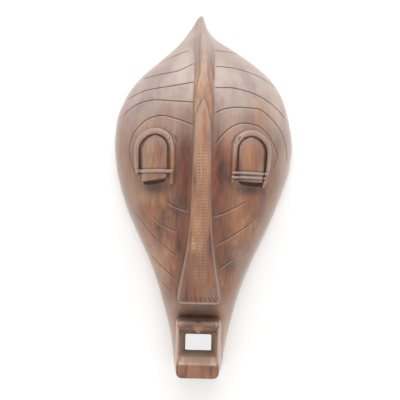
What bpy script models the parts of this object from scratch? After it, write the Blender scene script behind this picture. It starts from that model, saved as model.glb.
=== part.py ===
"""Carved wooden wall mask: a hollow-backed face with a crest that runs down into a long nose, two lidded
eyes, a square mouth that goes right through, and a steel ring on the back to hang it by.

Run with: blender --background --python part.py
Metres, +Z up. The mask faces -Y and its back rim lies in the plane Y = 0, against the wall. In this file
heights are measured up from the underside of the chin, and depths forward from the back rim. The frame
empty then lowers everything, so that the origin is the point where the wall hook holds the ring.
"""

import math

import bmesh
import bpy
from mathutils import Vector

# ---- Driving dimensions -------------------------------------------------------------------------------

# Outline of the back rim: (height, half-width on the -X side, half-width on the +X side). The real mask is
# cut by eye, so its two sides differ.
OUTLINE = (
    (0.000, 0.0300, 0.0300),
    (0.040, 0.0355, 0.0362),
    (0.086, 0.0473, 0.0470),
    (0.133, 0.0645, 0.0642),
    (0.180, 0.0865, 0.0853),
    (0.204, 0.0972, 0.0950),
    (0.227, 0.1050, 0.1035),
    (0.258, 0.1125, 0.1130),
    (0.289, 0.1157, 0.1165),
    (0.320, 0.1133, 0.1120),
    (0.351, 0.1018, 0.1030),
    (0.375, 0.0846, 0.0880),
    (0.398, 0.0590, 0.0615),
    (0.414, 0.0400, 0.0385),
    (0.430, 0.0240, 0.0160),
    (0.445, 0.0125, 0.0062),
    (0.460, 0.0035, 0.0020),
)
# Depth of the face on its middle line, under the crest and the nose: (height, depth).
FACE_PROFILE = (
    (0.000, 0.036),
    (0.060, 0.040),
    (0.070, 0.043),
    (0.082, 0.053),
    (0.095, 0.062),
    (0.120, 0.069),
    (0.150, 0.075),
    (0.200, 0.084),
    (0.250, 0.090),
    (0.290, 0.094),
    (0.320, 0.093),
    (0.350, 0.086),
    (0.375, 0.074),
    (0.400, 0.057),
    (0.420, 0.040),
    (0.440, 0.022),
    (0.460, 0.008),
)
# Depth of the crest's front edge: (height, depth). The nose lies on it and carries it on down.
RIDGE_PROFILE = (
    (0.0940, 0.101),
    (0.150, 0.103),
    (0.200, 0.104),
    (0.250, 0.105),
    (0.290, 0.105),
    (0.320, 0.103),
    (0.350, 0.098),
    (0.375, 0.089),
    (0.400, 0.074),
    (0.420, 0.057),
    (0.440, 0.036),
    (0.452, 0.022),
    (0.460, 0.0115),
)
# How square the cross-section is: 2 is an ellipse, as on the face, and more is boxier, as behind the mouth.
SQUARENESS = ((0.000, 4.5), (0.062, 4.5), (0.110, 2.4), (0.160, 2.0), (0.460, 2.0))

TIP_LEAN = 0.006  # how far the tip bends to the mask's right-hand side, which is -X
TIP_LEAN_START = 0.390

# Shallow carved hollows in the face.
VALLEY_DEPTH = 0.006  # beside the nose
VALLEY_OFFSET = 0.024
VALLEY_HALF_WIDTH = 0.012
VALLEY_HEIGHT = 0.215
VALLEY_HALF_LENGTH = 0.070
SCOOP_DEPTH = 0.006  # under each eyelid
SCOOP_HALF_WIDTH = 0.017
SCOOP_HALF_HEIGHT = 0.009

# Hollow back.
WALL = 0.014
RIM_WIDTH = 0.012
HOLLOW_FOOT = 0.014
HOLLOW_TOP = 0.366
HOLLOW_END_ROUNDING = 5.0
BACK_OVERRUN = 0.006
FRONT_OVERRUN = 0.003

GLUE_GAP = 0.0003  # between a piece and what carries it
SINK = 0.005  # how far a relief piece starts below the face before its seat is cut

# Crest, from the tip down to the brow: (height, half-width).
CREST_FOOT = 0.286
CREST_BASE = (
    (0.286, 0.0085),
    (0.310, 0.0120),
    (0.340, 0.0125),
    (0.400, 0.0122),
    (0.420, 0.0110),
    (0.436, 0.0072),
    (0.450, 0.0040),
    (0.460, 0.0018),
)
CREST_TOP = (
    (0.286, 0.0070),
    (0.318, 0.0098),
    (0.338, 0.0094),
    (0.356, 0.0072),
    (0.375, 0.0042),
    (0.400, 0.0034),
    (0.440, 0.0028),
    (0.460, 0.0010),
)
CREST_EDGE = 0.0010  # upright edge where its flanks meet the face
CREST_FLAT = 0.7  # share of the top's half-width that is quite flat

# Nose: (height, half-width), from its flared foot to the pointed top that lies on the crest.
NOSE_OUTLINE = (
    (0.0940, 0.0264),
    (0.101, 0.0268),
    (0.114, 0.0252),
    (0.136, 0.0210),
    (0.165, 0.0163),
    (0.196, 0.0136),
    (0.227, 0.0123),
    (0.265, 0.0116),
    (0.296, 0.0110),
    (0.311, 0.0098),
    (0.322, 0.0072),
    (0.331, 0.0040),
    (0.338, 0.0010),
)
NOSE_STEP = 0.0016  # how far the nose stands above the crest
NOSE_CROWN = 0.0012  # how far its front bulges across its width
NOSE_FLANK_POWER = 6.0
NOSE_FLANK_ROUNDING = 0.60

# Eyes. Each side has its own sizes, because the two differ on the real mask. Near is towards the nose. A leg
# of an arch has its (inner, outer) edges at the lid's spring and at its own foot, from the lid's centre.
EYE_HEIGHT = 0.2392  # of the left lid's far corner, from which every height of the eyes is measured
LID_HALF_WIDTH = 0.0153
LID_HEIGHT = 0.0558
LID_ARCH_HEIGHT = 0.0180  # of the arched top above the straight sides
LID_TOP_RELIEF = 0.0040
LID_FOOT_RELIEF = 0.0125
LID_ROLL = 0.45  # share of the relief left at the lid's sides
LID_ROLL_POWER = 2.5
ARCH_TOP = (0.0012, 0.0092)  # inner and outer edge over the lid's top
ARCH_RELIEF = 0.0062
ARCH_FOOT_RELIEF = 0.0075
ARCH_EDGE = 0.0016
ARCH_LEG_CURVE = 2.2
SLIT_HALF_WIDTH = 0.0148
SLIT_HEIGHT = 0.0068
SLIT_DROP = 0.0008  # of the slit's top edge below the lid
SLIT_REACH = 0.042  # how far back from the face the slit is cut, through the wall
LASH_RELIEF = 0.0011
LASH_SHOULDER = 0.6  # share of the relief at the band's edges
LASH_CROWN = 0.4  # share of the band's width that is flat on top
LASH_BITE = 0.0022
LASH_LANDING = 0.0040  # how far the band runs out over each leg
EYES = {
    "left": {
        "side": -1,
        "centre": 0.0578,
        "lid_foot": {"near": EYE_HEIGHT + 0.0048, "far": EYE_HEIGHT},
        "near": {"foot": EYE_HEIGHT - 0.0028, "at_spring": (0.0185, 0.0252), "at_foot": (0.0185, 0.0248)},
        "far": {"foot": EYE_HEIGHT + 0.0085, "at_spring": (0.0200, 0.0272), "at_foot": (0.0196, 0.0238)},
        "lash_bands": {"left_lash_band": {"height": EYE_HEIGHT + 0.0125, "width": 0.0040}},
    },
    "right": {
        "side": 1,
        "centre": 0.0594,
        "lid_foot": {"near": EYE_HEIGHT + 0.0036, "far": EYE_HEIGHT + 0.0015},
        "near": {"foot": EYE_HEIGHT - 0.0003, "at_spring": (0.0173, 0.0240), "at_foot": (0.0214, 0.0272)},
        "far": {"foot": EYE_HEIGHT - 0.0042, "at_spring": (0.0196, 0.0256), "at_foot": (0.0140, 0.0174)},
        "lash_bands": {
            "right_upper_lash_band": {"height": EYE_HEIGHT + 0.0123, "width": 0.0030},
            "right_lower_lash_band": {"height": EYE_HEIGHT + 0.0071, "width": 0.0030},
        },
    },
}

# Mouth.
MOUTH_FRONT = 0.078
MOUTH_TOP = 0.0700
MOUTH_BACK_HALF_WIDTH = 0.0300
MOUTH_FRONT_HALF_WIDTH = 0.0262
MOUTH_SINK = 0.024
CHIN_CORNER = 0.0075
MOUTH_EDGE_ROUNDING = 0.0025
OPENING_FRONT = {"half_width": 0.0234, "foot": 0.0250, "top": 0.0612}
OPENING_NECK = {"half_width": 0.0164, "foot": 0.0274, "top": 0.0478}
OPENING_REAR = {"half_width": 0.0180, "foot": 0.0200, "top": 0.0500}
OPENING_NECK_DEPTH = 0.038
LOWER_LIP_DEPTH = 0.070  # where the opening's floor turns down into the lower lip
LOWER_LIP_DROP = 0.0070
OPENING_CORNER = 0.0018

# Upper lip.
LIP_HALF_LENGTH = 0.0256
LIP_FOOT = 0.0628
LIP_TOP = 0.0702
LIP_RELIEF = 0.0050
LIP_POINT_DROP = 0.0076
LIP_POINT_HALF_WIDTH = 0.0070
LIP_DIP = 0.0016
LIP_DIP_HALF_WIDTH = 0.0060
LIP_DIP_SCOOP = 0.0008
LIP_END_LENGTH = 0.0050  # over which each end sinks and thins
LIP_END_DROP = 0.0030
LIP_END_RELIEF = 0.45  # share of the relief left at its ends

# Hanger let into the back.
WIRE_RADIUS = 0.00125
RING_HALF_WIDTH = 0.0090  # to the middle of the wire
RING_HEIGHT = 0.0120  # pivot to the middle of the wire at the top
RING_CORNER = 0.0030
RING_AXIS_DROP = 0.0615  # of the pivot below the tip of the mask
STRAP_THICKNESS = 0.0008
STRAP_HALF_WIDTH = 0.0055
STRAP_LENGTH = 0.0122
STRAP_WRAP = 270  # degrees that the eye goes round the bar
PIVOT_CLEARANCE = 0.0003
SCREW_DROP = 0.0066  # below the pivot, inside the ring when that hangs down
SCREW_SHANK_RADIUS = 0.0014
SCREW_LENGTH = 0.0120
SCREW_HEAD_RADIUS = 0.0032
SCREW_HEAD_HEIGHT = 0.0014
# The screw's point as (radius, way from the tip) in shank radii, and its dome in shares of the head's sizes.
SCREW_POINT = ((0.0, 0.0), (0.4, 1.0), (1.0, 3.0))
SCREW_DOME = ((1.0, 0.0), (0.85, 0.65), (0.45, 1.0), (0.0, 1.0))
SCREW_SLOT_WIDTH = 0.0008
SCREW_SLOT_DEPTH = 0.0007
POCKET_DEPTH = 0.0055
POCKET_MARGIN = 0.0022
POCKET_CORNER = 0.0040

WOOD_COLOUR = (0.29, 0.15, 0.09)
WOOD_ROUGHNESS = 0.45
STEEL_COLOUR = (0.60, 0.58, 0.52)
STEEL_ROUGHNESS = 0.35

# Fineness of the facets. A relief piece's columns are counted from its middle to each edge.
FACE_ROW_STEP = 0.0085
FACE_COLUMNS = 24
HOLLOW_ROW_STEP = 0.0115
HOLLOW_COLUMNS = 16
RELIEF_ROW_STEP = 0.0100
NOSE_ROW_STEP = 0.0085
LASH_STEP = 0.0032
LIP_STEP = 0.0026
ARC_STEP = math.radians(15)
CORNER_TURNS = (0, 30, 60, 90)  # degrees
NOSE_COLUMNS = 5
LID_COLUMNS = 4
LID_ROWS = 10
ARCH_COLUMNS = 3
LIP_TURNS = (-80, -55, -25, 0, 25, 55, 80)  # degrees
MOUTH_EDGE_FACETS = 3
STRAP_FACETS = 12
SCREW_FACETS = 20
SHARP_ANGLE = math.radians(35)  # edges sharper than this are shown as edges
BEVEL_ANGLE = math.radians(40)  # and edges sharper than this are rounded

MM = 0.001  # small overrun of cutters, and small steps in a profile

# ---- Worked-out places --------------------------------------------------------------------------------

MASK_HEIGHT = OUTLINE[-1][0]
LID_TOP = EYE_HEIGHT + LID_HEIGHT
LID_SPRING = LID_TOP - LID_ARCH_HEIGHT
LOWEST_LID_FOOT = min(min(eye["lid_foot"].values()) for eye in EYES.values())
STRAP_EYE_RADIUS = WIRE_RADIUS + PIVOT_CLEARANCE
RING_AXIS_HEIGHT = MASK_HEIGHT - RING_AXIS_DROP
PIVOT_DEPTH = POCKET_DEPTH - GLUE_GAP - STRAP_THICKNESS - STRAP_EYE_RADIUS
HOOK_HEIGHT = RING_AXIS_HEIGHT + RING_HEIGHT - WIRE_RADIUS


# ---- Shape functions ----------------------------------------------------------------------------------


def smooth(stations, at):
    """Value at a place along (place, value) stations, on a curve that never overshoots them."""
    places = [place for place, _ in stations]
    values = [value for _, value in stations]
    at = min(max(at, places[0]), places[-1])
    slopes = [(b - a) / (q - p) for p, q, a, b in zip(places, places[1:], values, values[1:])]
    tangents = [slopes[0]]
    for before, after in zip(slopes, slopes[1:]):
        same_way = before * after > 0
        tangents.append(2 * before * after / (before + after) if same_way else 0.0)
    tangents.append(slopes[-1])
    i = max(k for k in range(len(slopes)) if at >= places[k])
    step = places[i + 1] - places[i]
    t = (at - places[i]) / step
    return (
        values[i] * (1 + 2 * t) * (1 - t) ** 2
        + values[i + 1] * t * t * (3 - 2 * t)
        + step * t * (1 - t) * (tangents[i] * (1 - t) - tangents[i + 1] * t)
    )


def ease(t):
    """0 to 1 with level ends."""
    t = min(max(t, 0.0), 1.0)
    return t * t * (3 - 2 * t)


def spread(low, high, step):
    """Even places from low to high, no further apart than step."""
    count = max(2, math.ceil((high - low) / step))
    return [low + (high - low) * i / count for i in range(count + 1)]


def across(columns):
    """Shares from -1 to 1 across a piece, closer together towards its edges, where it curves more."""
    return [math.sin(math.pi / 2 * i / columns) for i in range(-columns, columns + 1)]


def middle(z):
    """X of the mask's middle line, which leans at the tip."""
    return -TIP_LEAN * ease((z - TIP_LEAN_START) / (MASK_HEIGHT - TIP_LEAN_START))


def half_width(z, side):
    """Half-width of the back rim on one side of the middle line."""
    return smooth([(row[0], row[1 if side < 0 else 2]) for row in OUTLINE], z)


def lid_foot(eye, t):
    """Height of the lid's lower edge: t goes from -1 at its -X end to 1 at its +X end."""
    near, far = eye["lid_foot"]["near"], eye["lid_foot"]["far"]
    return (near + far) / 2 + (far - near) / 2 * t * eye["side"]


def dent(x, z, at_x, at_z, wide, tall, deep):
    """Depth of a soft round hollow at a point."""
    return deep * math.exp(-(((x - at_x) / wide) ** 2) - ((z - at_z) / tall) ** 2)


def hollows(x, z):
    """Depth of the shallow carved hollows of the face at a point."""
    total = 0.0
    for eye in EYES.values():
        side = eye["side"]
        valley_x = side * VALLEY_OFFSET
        total += dent(x, z, valley_x, VALLEY_HEIGHT, VALLEY_HALF_WIDTH, VALLEY_HALF_LENGTH, VALLEY_DEPTH)
        scoop_z = lid_foot(eye, 0.0) - SLIT_HEIGHT
        scoop_x = side * eye["centre"]
        total += dent(x, z, scoop_x, scoop_z, SCOOP_HALF_WIDTH, SCOOP_HALF_HEIGHT, SCOOP_DEPTH)
    return total


def face(x, z):
    """Depth of the face's front surface at a point."""
    offset = x - middle(z)
    side = 1 if offset > 0 else -1
    share = min(abs(offset) / half_width(z, side), 1.0)
    n = smooth(SQUARENESS, z)
    return smooth(FACE_PROFILE, z) * (1 - share**n) ** (1 / n) - hollows(x, z)


# ---- Blender helpers ----------------------------------------------------------------------------------


def material(name, colour, roughness, metallic=0.0):
    made = bpy.data.materials.new(name)
    made.use_nodes = True
    shader = made.node_tree.nodes["Principled BSDF"]
    shader.inputs["Base Color"].default_value = (*colour, 1.0)
    shader.inputs["Roughness"].default_value = roughness
    shader.inputs["Metallic"].default_value = metallic
    return made


def add_object(name, mesh, finish):
    """An object for this mesh in the scene, under the frame empty, smooth where its faces nearly agree."""
    data = bpy.data.meshes.new(name)
    mesh.to_mesh(data)
    mesh.free()
    made = bpy.data.objects.new(name, data)
    made.parent = frame
    if finish:
        data.materials.append(finish)
    data.shade_smooth()
    data.set_sharp_from_angle(angle=SHARP_ANGLE)
    bpy.context.scene.collection.objects.link(made)
    return made


def loft(name, rings, finish=None):
    """A closed solid through rings of points that all have one count, with a face over each end."""
    mesh = bmesh.new()
    rows = [[mesh.verts.new(point) for point in ring] for ring in rings]
    count = len(rings[0])
    for lower, upper in zip(rows, rows[1:]):
        for i in range(count):
            j = (i + 1) % count
            mesh.faces.new((lower[i], lower[j], upper[j], upper[i]))
    mesh.faces.new(rows[0])
    mesh.faces.new(list(reversed(rows[-1])))
    bmesh.ops.recalc_face_normals(mesh, faces=mesh.faces)
    # Twisted faces are split here, once, so that a piece and the seat made from it agree everywhere.
    bmesh.ops.triangulate(mesh, faces=[f for f in mesh.faces if len(f.verts) == 4])
    return add_object(name, mesh, finish)


def as_tool(piece):
    """Makes an object a cutter or a guide, which isn't part of the mask."""
    piece.hide_render = True
    piece.display_type = "WIRE"
    return piece


def cut(piece, tool):
    step = piece.modifiers.new("cut_by_" + tool.name, "BOOLEAN")
    step.operation = "DIFFERENCE"
    step.solver = "EXACT"
    step.object = tool


def bevel(piece, width, segments):
    step = piece.modifiers.new("rounded_edges", "BEVEL")
    step.width = width
    step.segments = segments
    step.limit_method = "ANGLE"
    step.angle_limit = BEVEL_ANGLE


def seat_of(piece):
    """A guide like the piece but moved forward by the glue gap, which cuts the back of what sits on it."""
    seat = piece.copy()
    seat.data = piece.data
    seat.name = piece.name + "_seat"
    seat.location = piece.location + Vector((0, -GLUE_GAP, 0))
    bpy.context.scene.collection.objects.link(seat)
    return as_tool(seat)


def cross_section(z, columns, inset=0.0, wall=0.0, scale=1.0, with_hollows=True):
    """Points of one level section of the face, from the rim on the -X side round to the +X side."""
    n = smooth(SQUARENESS, z)
    points = []
    for i in range(columns + 1):
        angle = math.pi * (i / columns - 0.5)
        side = 1 if angle > 0 else -1
        reach = (half_width(z, side) - inset) * scale
        x = middle(z) + side * reach * abs(math.sin(angle)) ** (2 / n)
        depth = (smooth(FACE_PROFILE, z) - wall) * scale * max(math.cos(angle), 0.0) ** (2 / n)
        if with_hollows and 0 < i < columns:
            depth -= hollows(x, z)
        points.append((x, -depth, z))
    return points


# ---- Shell --------------------------------------------------------------------------------------------


def make_face_block():
    """The whole outside of the shell as one solid, flat at the back."""
    rings = [cross_section(z, FACE_COLUMNS) for z in spread(0.0, MASK_HEIGHT, FACE_ROW_STEP)]
    return loft("mask_shell", rings, wood)


def make_hollow_cutter():
    """What the adze takes out of the back, running out past the rim."""
    centre = (HOLLOW_FOOT + HOLLOW_TOP) / 2
    reach = (HOLLOW_TOP - HOLLOW_FOOT) / 2
    rings = []
    for z in spread(HOLLOW_FOOT + MM, HOLLOW_TOP - MM, HOLLOW_ROW_STEP):
        along = abs(z - centre) / reach
        ends = (1 - along**HOLLOW_END_ROUNDING) ** (1 / HOLLOW_END_ROUNDING)
        arc = cross_section(z, HOLLOW_COLUMNS, RIM_WIDTH, WALL, ends, with_hollows=False)
        rings.append([(arc[0][0], BACK_OVERRUN, z)] + arc[1:-1] + [(arc[-1][0], BACK_OVERRUN, z)])
    return as_tool(loft("hollow_cutter", rings))


def make_slit_cutter(name, eye):
    """The peep slit under one eyelid, right through the wall."""
    x = eye["side"] * eye["centre"]
    ends = [(x + t * SLIT_HALF_WIDTH, lid_foot(eye, t) - SLIT_DROP) for t in (-1, 1)]
    (x0, top0), (x1, top1) = ends
    middle_depth = face(x, lid_foot(eye, 0.0))
    rings = []
    for depth in (middle_depth - SLIT_REACH, middle_depth + SINK + FRONT_OVERRUN):
        edge = ((x0, top0 - SLIT_HEIGHT), (x1, top1 - SLIT_HEIGHT), (x1, top1), (x0, top0))
        rings.append([(px, -depth, pz) for px, pz in edge])
    return as_tool(loft(name + "_slit_cutter", rings))


# ---- Crest and nose -----------------------------------------------------------------------------------


def make_crest(name, gap=0.0):
    """The keel from the tip down over the brow. With a gap it is the space that the nose leaves for it."""
    rings = []
    for z in spread(CREST_FOOT - gap, MASK_HEIGHT - GLUE_GAP, RELIEF_ROW_STEP):
        x = middle(z)
        base = smooth(CREST_BASE, z) + gap
        top = smooth(CREST_TOP, z) + gap
        front = smooth(RIDGE_PROFILE, z) + gap
        back = max(face(x, z) - SINK, MM)
        foot = max(face(x - base, z), face(x + base, z)) + CREST_EDGE
        foot = min(foot, front - CREST_EDGE)
        half = [(top, front - CREST_EDGE / 2), (top * CREST_FLAT, front), (0.0, front)]
        left = [(-base, back), (-base, foot)] + [(-w, d) for w, d in half]
        right = [(w, d) for w, d in reversed(half[:-1])] + [(base, foot), (base, back)]
        rings.append([(x + w, -d, z) for w, d in left + right])
    return loft(name, rings, wood)


def make_nose():
    """The long nose, flared at its foot and pointed where it lies on the crest."""
    low, high = NOSE_OUTLINE[0][0], NOSE_OUTLINE[-1][0]
    rings = []
    for z in spread(low, high, NOSE_ROW_STEP):
        x = middle(z)
        half = smooth(NOSE_OUTLINE, z)
        top = smooth(RIDGE_PROFILE, z) + NOSE_STEP
        back = face(x, z) - SINK
        foot = face(x + half, z) - MM
        ring = [(x - half, -back, z)]
        for t in across(NOSE_COLUMNS):
            rise = (1 - abs(t) ** NOSE_FLANK_POWER) ** NOSE_FLANK_ROUNDING
            depth = foot + (top - foot) * rise + NOSE_CROWN * (1 - t * t) - NOSE_CROWN
            ring.append((x + t * half, -max(depth, back + MM), z))
        ring.append((x + half, -back, z))
        rings.append(ring)
    return loft("nose", rings, wood)


# ---- Eyes ---------------------------------------------------------------------------------------------


def lid_half_width(share):
    """Half-width of the eyelid at a share of its height: straight sides, then a half-ellipse on top."""
    spring = (LID_SPRING - LOWEST_LID_FOOT) / (LID_TOP - LOWEST_LID_FOOT)
    rise = max(0.0, (share - spring) / (1 - spring))
    return LID_HALF_WIDTH * math.sqrt(max(1 - rise * rise, 0.0))


def lid_relief(t, share):
    """How far the lid stands out of the face: most along its foot and its middle."""
    crown = LID_TOP_RELIEF + (LID_FOOT_RELIEF - LID_TOP_RELIEF) * ease(1 - share)
    return crown * (1 - (1 - LID_ROLL) * abs(t) ** LID_ROLL_POWER)


def make_lid(name, eye):
    centre = eye["side"] * eye["centre"]
    rings = []
    for i in range(LID_ROWS + 1):
        share = math.sin(math.pi * i / (2 * LID_ROWS + 1))  # stops just short of the lid's topmost point
        half = lid_half_width(share)
        front = []
        for t in across(LID_COLUMNS):
            x = centre + t * half
            foot = lid_foot(eye, t)
            z = foot + (LID_TOP - foot) * share
            front.append((x, face(x, z) + lid_relief(t, share), z))
        (x0, _, z0), (x1, _, z1) = front[0], front[-1]
        start = (x0, -(face(x0, z0) - SINK), z0)
        end = (x1, -(face(x1, z1) - SINK), z1)
        rings.append([start] + [(x, -depth, z) for x, depth, z in front] + [end])
    return loft(name + "_eyelid", rings, wood)


def leg_edges(ends, z):
    """Inner and outer edge of an arch's leg at a height, from the lid's centre."""
    share = ((LID_SPRING - z) / (LID_SPRING - ends["foot"])) ** ARCH_LEG_CURVE
    return [a + (b - a) * share for a, b in zip(ends["at_spring"], ends["at_foot"])]


def arch_stations(eye):
    """The arch over one eye from its near foot to its far foot, as pairs of inner and outer (x, z)."""
    side = eye["side"]
    centre = side * eye["centre"]
    near, far = eye["near"], eye["far"]

    def leg(ends, direction, z):
        return [(centre + direction * edge, z) for edge in leg_edges(ends, z)]

    stations = [leg(near, -side, z) for z in spread(near["foot"], LID_SPRING, RELIEF_ROW_STEP)[:-1]]
    for angle in spread(0.0, math.pi, ARC_STEP):
        turn = ease(angle / math.pi)
        pair = []
        for i in (0, 1):
            reach = near["at_spring"][i] + (far["at_spring"][i] - near["at_spring"][i]) * turn
            rise = LID_TOP - LID_SPRING + ARCH_TOP[i]
            x = centre - side * reach * math.cos(angle)
            pair.append((x, LID_SPRING + rise * math.sin(angle)))
        stations.append(pair)
    stations += [leg(far, side, z) for z in reversed(spread(far["foot"], LID_SPRING, RELIEF_ROW_STEP)[:-1])]
    return stations


def arch_relief(t, z, eye):
    """How far the arch stands out of the face: t is the way across it, and its legs stand out more."""
    legs = ease((LID_SPRING - z) / (LID_SPRING - eye["near"]["foot"]))
    crown = ARCH_RELIEF + (ARCH_FOOT_RELIEF - ARCH_RELIEF) * legs
    return ARCH_EDGE + (crown - ARCH_EDGE) * math.sqrt(max(1 - t * t, 0.0))


def make_arch(name, eye):
    """The raised band over one eye, with its two legs hanging past the lid."""
    rings = []
    for (x0, z0), (x1, z1) in arch_stations(eye):
        ring = [(x0, -(face(x0, z0) - SINK), z0)]
        for t in across(ARCH_COLUMNS):
            x = x0 + (x1 - x0) * (t + 1) / 2
            z = z0 + (z1 - z0) * (t + 1) / 2
            ring.append((x, -(face(x, z) + arch_relief(t, z, eye)), z))
        ring.append((x1, -(face(x1, z1) - SINK), z1))
        rings.append(ring)
    return loft(name + "_eye_arch", rings, wood)


def eye_front(x, z, eye):
    """Depth of what stands foremost at a point of the eye: the lid, out to the leg, or the leg's crown."""
    offset = x - eye["side"] * eye["centre"]
    inner, outer = leg_edges(eye["far"] if offset * eye["side"] > 0 else eye["near"], z)
    t = offset / LID_HALF_WIDTH
    share = (z - lid_foot(eye, t)) / (LID_TOP - lid_foot(eye, t))
    lid = lid_relief(min(abs(t), 1.0), share) if abs(offset) < inner else 0.0
    leg = arch_relief(0.0, z, eye) if inner < abs(offset) < outer else 0.0
    return face(x, z) + max(lid, leg)


def make_lash_band(name, eye, height, width):
    """A thin band carved across the lid and both legs."""
    centre = eye["side"] * eye["centre"]
    ends = {}
    for which, direction in (("near", -eye["side"]), ("far", eye["side"])):
        ends[direction] = direction * (leg_edges(eye[which], height)[0] + LASH_LANDING)
    shoulder = LASH_RELIEF * LASH_SHOULDER
    lower = [(-1, -LASH_BITE), (-1, shoulder), (-LASH_CROWN, LASH_RELIEF)]
    profile = lower + [(-t, d) for t, d in reversed(lower)]
    rings = []
    for offset in spread(ends[-1], ends[1], LASH_STEP):
        x = centre + offset
        front = eye_front(x, height, eye)
        rings.append([(x, -(front + d), height + t * width / 2) for t, d in profile])
    return loft(name, rings, wood)


# ---- Mouth --------------------------------------------------------------------------------------------


def rounded_box_ring(half, foot, top, corner, depth):
    """A ring of a box at one depth, with rounded corners."""
    centres = (
        (half - corner, foot + corner, -90),
        (half - corner, top - corner, 0),
        (-half + corner, top - corner, 90),
        (-half + corner, foot + corner, 180),
    )
    ring = []
    for x, z, start in centres:
        for turn in CORNER_TURNS:
            angle = math.radians(start + turn)
            ring.append((x + corner * math.cos(angle), -depth, z + corner * math.sin(angle)))
    return ring


def make_mouth_box():
    """The square muzzle with its chin, tapering forward."""
    back = MOUTH_SINK
    rings = []
    for share in (0.0, 0.5, 1.0):
        half = MOUTH_BACK_HALF_WIDTH + (MOUTH_FRONT_HALF_WIDTH - MOUTH_BACK_HALF_WIDTH) * share
        depth = back + (MOUTH_FRONT - back) * share
        rings.append(rounded_box_ring(half, 0.0, MOUTH_TOP, CHIN_CORNER, depth))
    return loft("mouth_box", rings, wood)


def make_opening_cutter():
    """The mouth's way through: a funnel back to a narrow neck, then splayed again into the hollow."""

    def between(a, b, share):
        return {key: a[key] + (b[key] - a[key]) * share for key in a}

    span = MOUTH_FRONT - OPENING_NECK_DEPTH
    lip = between(OPENING_NECK, OPENING_FRONT, (LOWER_LIP_DEPTH - OPENING_NECK_DEPTH) / span)
    past = MOUTH_FRONT + FRONT_OVERRUN
    end = between(OPENING_NECK, OPENING_FRONT, (past - OPENING_NECK_DEPTH) / span)
    lip_slope = LOWER_LIP_DROP / (MOUTH_FRONT - LOWER_LIP_DEPTH)
    end["foot"] = lip["foot"] - lip_slope * (past - LOWER_LIP_DEPTH)
    sections = (
        (OPENING_REAR, -BACK_OVERRUN),
        (OPENING_NECK, OPENING_NECK_DEPTH),
        (lip, LOWER_LIP_DEPTH),
        (end, past),
    )
    rings = []
    for size, depth in sections:
        rings.append(rounded_box_ring(size["half_width"], size["foot"], size["top"], OPENING_CORNER, depth))
    return as_tool(loft("opening_cutter", rings))


def make_upper_lip():
    """The bow-shaped roll on the mouth's top edge, with its point hanging down in the middle."""
    rings = []
    back = MOUTH_FRONT - MM
    for x in spread(-LIP_HALF_LENGTH, LIP_HALF_LENGTH, LIP_STEP):
        point = max(0.0, 1 - abs(x) / LIP_POINT_HALF_WIDTH)
        dip = max(0.0, 1 - abs(x) / LIP_DIP_HALF_WIDTH)
        end = ease((LIP_HALF_LENGTH - abs(x)) / LIP_END_LENGTH)
        foot = LIP_FOOT - LIP_POINT_DROP * point
        top = LIP_TOP - LIP_DIP * dip - LIP_END_DROP * (1 - end)
        relief = LIP_RELIEF * (LIP_END_RELIEF + (1 - LIP_END_RELIEF) * end) - LIP_DIP_SCOOP * dip
        centre, reach = (foot + top) / 2, (top - foot) / 2
        ring = [(x, -back, foot)]
        for turn in LIP_TURNS:
            a = math.radians(turn)
            depth = MOUTH_FRONT + MM + (relief - MM) * math.cos(a)
            ring.append((x, -depth, centre + reach * math.sin(a)))
        ring.append((x, -back, top))
        rings.append(ring)
    return loft("upper_lip", rings, wood)


# ---- Hanger -------------------------------------------------------------------------------------------


def make_ring():
    """The D-ring of bent wire. Its origin is on its straight bar, which is its pivot."""
    wide, tall, corner = RING_HALF_WIDTH, RING_HEIGHT, RING_CORNER
    bends = []
    for turn in CORNER_TURNS[1:]:
        a = math.radians(turn)
        bends.append((wide - corner + corner * math.sin(a), corner - corner * math.cos(a)))
    path = [(-wide + corner, 0.0), (0.0, 0.0), (wide - corner, 0.0)] + bends
    for a in spread(0.0, math.pi, ARC_STEP)[1:-1]:
        path.append((wide * math.cos(a), corner + (tall - corner) * math.sin(a)))
    path += [(-x, z) for x, z in reversed(bends)]
    curve = bpy.data.curves.new("hanger_ring", "CURVE")
    curve.dimensions = "3D"
    curve.bevel_depth = WIRE_RADIUS
    curve.bevel_resolution = 2
    spline = curve.splines.new("POLY")
    spline.points.add(len(path) - 1)
    for point, (x, z) in zip(spline.points, path):
        point.co = (x, 0.0, z, 1.0)
    spline.use_cyclic_u = True
    curve.materials.append(steel)
    ring = bpy.data.objects.new("hanger_ring", curve)
    ring.parent = frame
    ring.location = (0.0, -PIVOT_DEPTH, RING_AXIS_HEIGHT)
    bpy.context.scene.collection.objects.link(ring)
    return ring


def make_strap():
    """The folded steel strap: a flat tail on the pocket's floor and an eye round the ring's bar."""
    inner, outer = STRAP_EYE_RADIUS, STRAP_EYE_RADIUS + STRAP_THICKNESS
    turns = [math.radians(STRAP_WRAP * i / STRAP_FACETS) for i in range(STRAP_FACETS + 1)]
    # Seen from the side: (depth forward of the pivot, height above it).
    profile = [(outer, -STRAP_LENGTH)]
    profile += [(outer * math.cos(a), outer * math.sin(a)) for a in turns]
    profile += [(inner * math.cos(a), inner * math.sin(a)) for a in reversed(turns)]
    profile += [(inner, -STRAP_LENGTH)]
    rings = []
    for x in (-STRAP_HALF_WIDTH, STRAP_HALF_WIDTH):
        rings.append([(x, -(PIVOT_DEPTH + d), RING_AXIS_HEIGHT + h) for d, h in profile])
    return loft("hanger_strap", rings, steel)


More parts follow.
